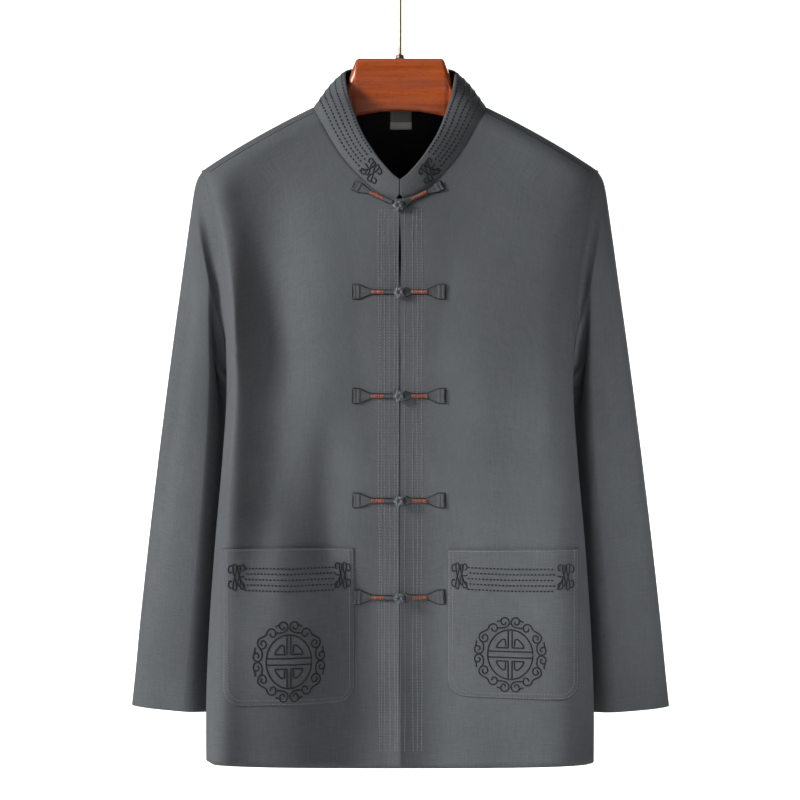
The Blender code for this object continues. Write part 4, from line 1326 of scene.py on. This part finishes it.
def make_collar_embroidery():
    """Black embroidery on the collar: rows of dashes that end in an ornament on each side."""
    for side, word in ((-1, "left"), (1, "right")):
        on, reach = on_collar(side)
        rows = [
            dashes([(53.0 + 2.0 * (i % 2), up), (reach - 2.0, up)], 2.8, 1.7)
            for i, up in enumerate((0.24, 0.40, 0.56, 0.73, 0.91))
        ]
        threads("collar_dashes_" + word, np.concatenate(rows), on, 2.3, 0.7, BLACK_THREAD, 0.0)
        knots = []
        for line in knotwork(25.0, 0.80):
            knots.append(resampled(line * (-1.0, 1.0), 30) + (39.3, 0.45))
        threads("collar_scrolls_" + word, knots, on, 1.9, 0.9, BLACK_THREAD, 0.05)


# Frogs


def frog_line(number, side, out):
    """Points on the front at distances from the knot, with the directions up and outwards."""
    i = int(number) - 1
    out = np.asarray(out, float)
    x = FROGS["across"][i] + side * out
    height = FROGS["height"][i] + FROGS["rise"][i] * out / FROG_REACH
    flat = np.where(side * x < 1.0, side * 1.0, x)
    here, outward = front_at(flat, height)
    here[:, 0] = x
    along = unit(np.gradient(here, axis=0))
    up = unit(np.cross(along, outward))
    up = np.where(up[:, 2:] < 0, -up, up)
    return here, up, outward


def make_frogs():
    """Each fastening: two folded wings, two cords and the knot between them."""
    for number in (1, 2, 3, 4, 5):
        stem = f"frog_{number}"
        for side, word in ((-1, "left"), (1, "right")):
            make_wing(stem, number, side, word)
            make_band(stem, number, side, word)
        make_knot(stem, number)


def wing_size(number):
    """The length of a wing as a share: the top frog's are folded smaller, to clear the collar."""
    return 0.92 if number == 1 else 1.0


def wing_width(number):
    """The width of a wing as a share: the top frog's are folded narrower too."""
    return 0.68 if number == 1 else 1.0


def make_wing(stem, number, side, word):
    """A folded strip that opens like a fan, worked out by its distance from the knot.

    Its thickness is a squarish oval with bells on it for the rolled edges and the pleat in the
    middle, a soft step where the end is folded back and a bell for the groove across that.
    """
    start, end = 30.6, 51.6
    out = np.concatenate([np.linspace(start, 41.0, 12), np.linspace(41.4, end, 20)])
    here, up, outward = frog_line(number, side, start + (out - start) * wing_size(number))
    half = np.interp(out, (start, 33.0, 42.5, 44.0, end), (2.7, 3.1, 7.4, 8.0, 8.2))
    half = half * wing_width(number)
    across = np.linspace(-1.0, 1.0, 25)
    u, v = out[:, None], across[None, :]
    rim = 0.75 * np.exp(-(((np.abs(v) - 0.86) / 0.10) ** 2))
    fold = 0.9 * smooth((u - 43.2) / 0.8) - 0.55 * np.exp(-(((u - 47.4) / 0.9) ** 2))
    pleat = 0.55 * np.exp(-((v / 0.16) ** 2)) * smooth((44.0 - u) / 6.0)
    oval = 0.35 + 1.75 * np.sqrt(np.clip(1 - np.abs(v) ** 6, 0.0, 1.0))
    height = oval + rim + fold + pleat
    height *= np.clip(np.minimum((u - 30.2) / 1.0, (52.0 - u) / 0.8), 0.25, 1.0)
    notch = side * 1.2 * (1 - np.abs(v)) * smooth((u - 47.0) / 4.6)
    points = here[:, None] + up[:, None] * (v * half[:, None])[..., None]
    top = points + outward[:, None] * height[..., None]
    top[..., 0] -= notch
    low = points + outward[:, None] * 0.15
    low[..., 0] -= notch
    rings = np.concatenate([top, low[:, ::-1]], axis=1)
    faces = ring_faces(len(out), rings.shape[1])
    obj = build(f"{stem}_wing_{word}_cloth", rings.reshape(-1, 3), faces, None, [TRIM])
    add_uv(obj)
    fix_normals(obj)
    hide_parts(f"{stem}_wing_{word}")


def make_frog_edges():
    """Black thread along the wings' and cords' edges, in each frog's own slant: a painted shadow
    line under their raised edges.
    """
    out = np.array((30.8, 33.0, 42.5, 44.0, 51.9))
    half = np.array((3.1, 3.5, 7.8, 8.4, 8.6))
    wing = np.concatenate([np.stack([out, -half], -1), np.stack([out, half], -1)[::-1]])
    beside = {-1: ((8.0, 2.5), (31.0, 2.6)), 1: ((7.0, 5.6), (14.0, 2.7), (31.0, 2.6))}
    paths = []
    for i in range(len(FROGS["number"])):
        slant = np.arctan(FROGS["rise"][i] / FROG_REACH)
        size = wing_size(FROGS["number"][i])
        wide = wing_width(FROGS["number"][i])
        sized = np.stack([30.8 + (wing[:, 0] - 30.8) * size, wing[:, 1] * wide], -1)
        for side in (-1, 1):
            above = np.array(beside[side])
            for outline in (sized, above, above * (1.0, -1.0)):
                line = resampled(outline, 50)
                x = FROGS["across"][i] + side * (line[:, 0] - line[:, 1] * np.sin(slant))
                rise = line[:, 0] * np.tan(slant) + line[:, 1] * np.cos(slant)
                paths.append(np.stack([x, FROGS["height"][i] + rise], -1))
    # black thread as the painted shadow line along the edges
    threads("frog_edge_painted_shadow", paths, front_at, 1.1, 0.9, BLACK_THREAD, 0.05)


def make_shoulder_seams():
    """The seam that joins front and back, 9 to 11 mm below the shoulder's crest in front."""
    x = np.linspace(98.0, 216.0, 60)
    height = shoulder_line(x) - np.linspace(9.0, 11.0, 60)
    paths = [np.stack([side * x, height], -1) for side in (-1, 1)]
    threads("shoulder_seams", paths, front_at, 0.8, 0.3, BLACK_THREAD, 0.0)


def add_uv(obj):
    """A cloth UV in metres from x and height, for small flat pieces."""
    mesh = obj.data
    spots = np.empty(len(mesh.vertices) * 3)
    mesh.vertices.foreach_get("co", spots)
    loops = np.empty(len(mesh.loops), int)
    mesh.loops.foreach_get("vertex_index", loops)
    flat = spots.reshape(-1, 3)[loops][:, [0, 2]]
    mesh.uv_layers.new(name="cloth").data.foreach_set("uv", flat.astype(np.float32).reshape(-1))


def make_band(stem, number, side, word):
    """The cord from wing to knot: flat oval, wound with rust thread for part of its length.

    Each turn of the thread stands out by the size of a sine along the cord.
    """
    near, far = 6.0, 31.8
    out = np.linspace(near, far, 130)
    here, up, outward = frog_line(number, side, out)
    change = 16.8 if side < 0 else 14.0
    wound = out > change
    turn_width = 0.95
    ridge = np.abs(np.sin(np.pi * out / turn_width))
    loop = 2.1 if side < 0 else np.interp(out, (near, change), (5.2, 2.3))
    tall = np.where(wound, 2.1 + 0.16 * ridge, loop)
    thick = np.where(wound, 1.75 + 0.22 * ridge, 1.45)
    ends = np.clip(np.minimum(out - near, far - out) / 0.8 + 0.35, 0.0, 1.0)
    sizes = np.stack([tall * ends, thick * ends], -1)
    rings, faces = tube(here + 2.0 * outward, up, outward, sizes, 2.6, 18)
    # the right cord takes the darker copy of the cord: painted shade
    second = TRIM if side < 0 else CORD_IN_PAINTED_SHADE
    obj = build(f"{stem}_cord_{word}_cloth", rings.reshape(-1, 3), faces, None, [WOUND, second])
    ring_of = np.minimum(np.arange(len(faces)) // 18, len(out) - 1)
    choice = np.where(wound[ring_of], 0, 1)
    obj.data.polygons.foreach_set("material_index", choice.astype(np.int32))
    add_uv(obj)
    fix_normals(obj)
    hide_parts(f"{stem}_cord_{word}")


def make_knot(stem, number):
    """A button knot: one cord plaited over and under itself round a ball.

    The cord's longitude goes round twice while its latitude swings five times, and it moves in
    and out as cos so that each crossing goes over one way and under the next.
    """
    here, _, _ = frog_line(number, 1, [0.0, 1.0])
    centre = here[0] - (0.0, 4.6, 0.0)
    t = np.linspace(0.0, TAU, 150, endpoint=False)
    longitude, latitude = 2 * t + 0.6, 0.92 * np.sin(5 * t)
    radius = 1.0 + 0.13 * np.cos(5 * t)
    level = np.cos(latitude)
    ball = np.stack([level * np.cos(longitude), -np.sin(latitude), level * np.sin(longitude)], -1)
    path = ball * radius[:, None] * (4.3, 3.4, 5.2)
    along = unit(np.roll(path, -1, 0) - np.roll(path, 1, 0))
    out = unit(ball)
    beside = unit(np.cross(along, out))
    cord_radius, sides = 1.65, 10
    angle = np.linspace(0.0, TAU, sides, endpoint=False)[None, :, None]
    rings = path[:, None] + cord_radius * (
        beside[:, None] * np.cos(angle) + out[:, None] * np.sin(angle)
    )
    index = np.arange(len(rings) * sides).reshape(-1, sides)
    index = np.vstack([index, index[:1]])
    faces = grid_faces(np.hstack([index, index[:, :1]]))
    turn = np.linspace(0.0, np.pi, 14)
    core = np.stack([0 * turn, -2.6 * np.cos(turn), 0 * turn], -1)
    size = np.maximum(np.sin(turn), 0.02)[:, None] * (3.2, 3.1)
    first = np.broadcast_to((1.0, 0.0, 0.0), core.shape)
    second = np.broadcast_to((0.0, 0.0, 1.0), core.shape)
    points, faces = join([(rings, faces), tube(core, first, second, size, 2.0, 16)])
    obj = build(f"{stem}_knot_cord", points + centre, faces, None, [KNOT_CORD])
    fix_normals(obj)
    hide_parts(f"{stem}_knot")


# Hanger


def make_hanger():
    """Upright oval sections along the arms; the head is a flat block with a step below it.

    The table's sizes are joined by straight lines, and outside the head each is then evened out
    three times with a half of its own and a quarter of each neighbour's.
    """
    knots = np.concatenate([-HANGER["across"][:0:-1], HANGER["across"]])
    across = np.unique(np.concatenate([knots, np.linspace(-208.5, 208.5, 150)]))
    values = {}
    for name in ("top", "foot", "half_thickness", "squareness"):
        row = np.concatenate([HANGER[name][:0:-1], HANGER[name]])
        values[name] = np.interp(across, knots, row)
    for name in ("top", "foot", "half_thickness"):
        smoothed = values[name].copy()
        for _ in range(3):
            wide = np.pad(smoothed, 1, mode="edge")
            smoothed = 0.25 * wide[:-2] + 0.5 * wide[1:-1] + 0.25 * wide[2:]
        head = np.abs(across) < 60
        values[name] = np.where(head, values[name], smoothed)
    top, foot = values["top"], values["foot"]
    centres = np.stack([across, 0 * across, (top + foot) / 2], -1)
    up = np.broadcast_to((0.0, 0.0, 1.0), centres.shape)
    sizes = np.stack([(top - foot) / 2, values["half_thickness"]], -1)
    rings, faces = tube(centres, up, to_front(centres), sizes, values["squareness"], 64)
    head = smooth((62.0 - np.abs(rings[..., 0])) / 8.0)
    below = smooth((770.0 - rings[..., 2]) / 2.0) - 0.5 * smooth((766.0 - rings[..., 2]) / 12.0)
    rings[..., 1] *= 1.0 - 0.30 * head * below
    obj = build("hanger_arms", rings.reshape(-1, 3), faces, None, [WOOD])
    fix_normals(obj)
    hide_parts("hanger_wood")


def make_hook():
    """Brass wire: up the rod, through an easy bend and round the hook to a domed tip.

    The hook is an arc of a circle, and the bend a curve on four points, each times its share:
    the cubes and products of the part gone and the part left.
    """
    wire, radius = 1.8, 22.0
    turn = np.radians(np.linspace(-60.0, 205.0, 70))
    middle = (0.0, 0.0, HEM_DROP + wire - radius)
    arc = np.stack([np.cos(turn), 0 * turn, np.sin(turn)], -1) * radius + middle
    start, tangent = arc[0], np.array([np.sin(turn[0]), 0.0, -np.cos(turn[0])])
    rod_top = np.array([0.0, 0.0, 872.0])
    pulls = (rod_top, rod_top + (0.0, 0.0, 7.0), start + tangent * 8.0, start)
    t = np.linspace(0.0, 1.0, 24)[:, None]
    bend = (
        pulls[0] * (1 - t) ** 3
        + 3 * pulls[1] * t * (1 - t) ** 2
        + 3 * pulls[2] * t**2 * (1 - t)
        + pulls[3] * t**3
    )
    rod = np.linspace((0.0, 0.0, 799.3), (0.0, 0.0, 871.0), 12)
    line = np.concatenate([rod, bend, arc[1:]])
    along = unit(np.gradient(line, axis=0))
    first = to_back(line)
    second = unit(np.cross(along, first))
    left = lengths(line)[-1] - lengths(line)
    size = wire * np.sqrt(np.clip(1 - (1 - np.minimum(left / 1.6, 1.0)) ** 2, 0.05, 1.0))
    rings, faces = tube(line, first, second, np.stack([size, size], -1), 2.0, 20)
    obj = build("hook_wire", rings.reshape(-1, 3), faces, None, [BRASS])
    fix_normals(obj)
    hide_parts("hook")


# Studio


def make_studio():
    """A white board far behind that curves into the floor, soft lights and the camera."""
    s = np.linspace(0.0, 1.0, 48)
    low, back, bend = -1.7, 5.0, 0.7
    turn = np.clip((s - 0.4) / 0.3, 0.0, 1.0) * np.pi / 2
    y = np.where(s < 0.4, -4.0 + (back - bend + 4.0) * s / 0.4, back - bend + bend * np.sin(turn))
    z = np.where(s > 0.7, low + bend + 3.0 * (s - 0.7) / 0.3, low + bend * (1 - np.cos(turn)))
    x = np.linspace(-3.4, 3.4, 5)
    points = np.stack(np.broadcast_arrays(x[None, :], y[:, None], z[:, None]), -1)
    faces = grid_faces(np.arange(len(s) * len(x)).reshape(len(s), len(x)))
    mesh = bpy.data.meshes.new("backdrop")
    mesh.from_pydata(points.reshape(-1, 3).tolist(), [], faces.tolist())
    mesh.materials.append(backdrop_material())
    mesh.polygons.foreach_set("use_smooth", np.ones(len(mesh.polygons), bool))
    backdrop = bpy.data.objects.new("backdrop", mesh)
    bpy.context.scene.collection.objects.link(backdrop)
    lights = (
        ("key", (-3.2, -1.65, 0.8), (0.0, 0.0, -0.5), 0.9, 157.0, 180),
        ("side_right", (1.25, -1.35, -0.35), (0.40, 0.0, -0.60), 0.45, 0.7, 30),
        ("fill_right", (0.8, -3.0, -0.3), (0.0, 0.0, -0.5), 1.2, 4.6, 180),
        ("fill_left", (-1.1, -2.9, -0.3), (0.0, 0.0, -0.5), 1.0, 3.0, 180),
        ("top", (0.0, -0.6, 2.0), (0.0, 0.0, -0.4), 1.2, 5.0, 180),
        ("back_light", (1.3, 2.8, 0.8), (0.0, 0.0, -0.5), 1.2, 34.0, 180),
        ("wall_left", (-1.9, 3.3, -0.5), (0.2, 5.0, -0.6), 0.8, 56.0, 180),
        ("wall_right", (1.9, 3.3, -0.5), (-0.2, 5.0, -0.6), 0.8, 56.0, 180),
    )
    for name, where, target, size, energy, spread in lights:
        lamp = bpy.data.lights.new(name, "AREA")
        lamp.shape = "SQUARE"
        lamp.size = size
        lamp.energy = energy
        lamp.spread = np.radians(spread)
        obj = bpy.data.objects.new(name, lamp)
        obj.location = where
        aim = Vector(target) - Vector(where)
        obj.rotation_euler = aim.to_track_quat("-Z", "Y").to_euler()
        obj.visible_camera = False
        bpy.context.scene.collection.objects.link(obj)
    world = bpy.data.worlds.new("studio")
    world.use_nodes = True
    world.node_tree.nodes["Background"].inputs["Color"].default_value = (1.0, 1.0, 1.0, 1.0)
    seen = world.node_tree.nodes.new("ShaderNodeLightPath")
    level = world.node_tree.nodes.new("ShaderNodeMapRange")
    level.inputs["To Min"].default_value = 0.03
    level.inputs["To Max"].default_value = 0.85
    world.node_tree.links.new(seen.outputs["Is Camera Ray"], level.inputs["Value"])
    world.node_tree.links.new(
        level.outputs["Result"], world.node_tree.nodes["Background"].inputs["Strength"]
    )
    bpy.context.scene.world = world
    camera = bpy.data.objects.new("camera", bpy.data.cameras.new("camera"))
    camera.location = (0.0, -3.0, -0.516)
    camera.rotation_euler = (np.pi / 2, 0.0, 0.0)
    camera.data.lens = 118.4
    camera.data.sensor_width = 36.0
    bpy.context.scene.collection.objects.link(camera)
    bpy.context.scene.camera = camera
    bpy.context.scene.view_settings.view_transform = "Standard"


for slot in bpy.data.objects["ferrule"].material_slots:
    slot.material = BRASS
make_fronts()
make_back()
make_sleeves()
make_collar()
make_pockets()
make_label()
make_embroidery()
make_collar_embroidery()
make_stitching()
make_frogs()
make_frog_edges()
make_shoulder_seams()
make_hanger()
make_hook()
make_studio()
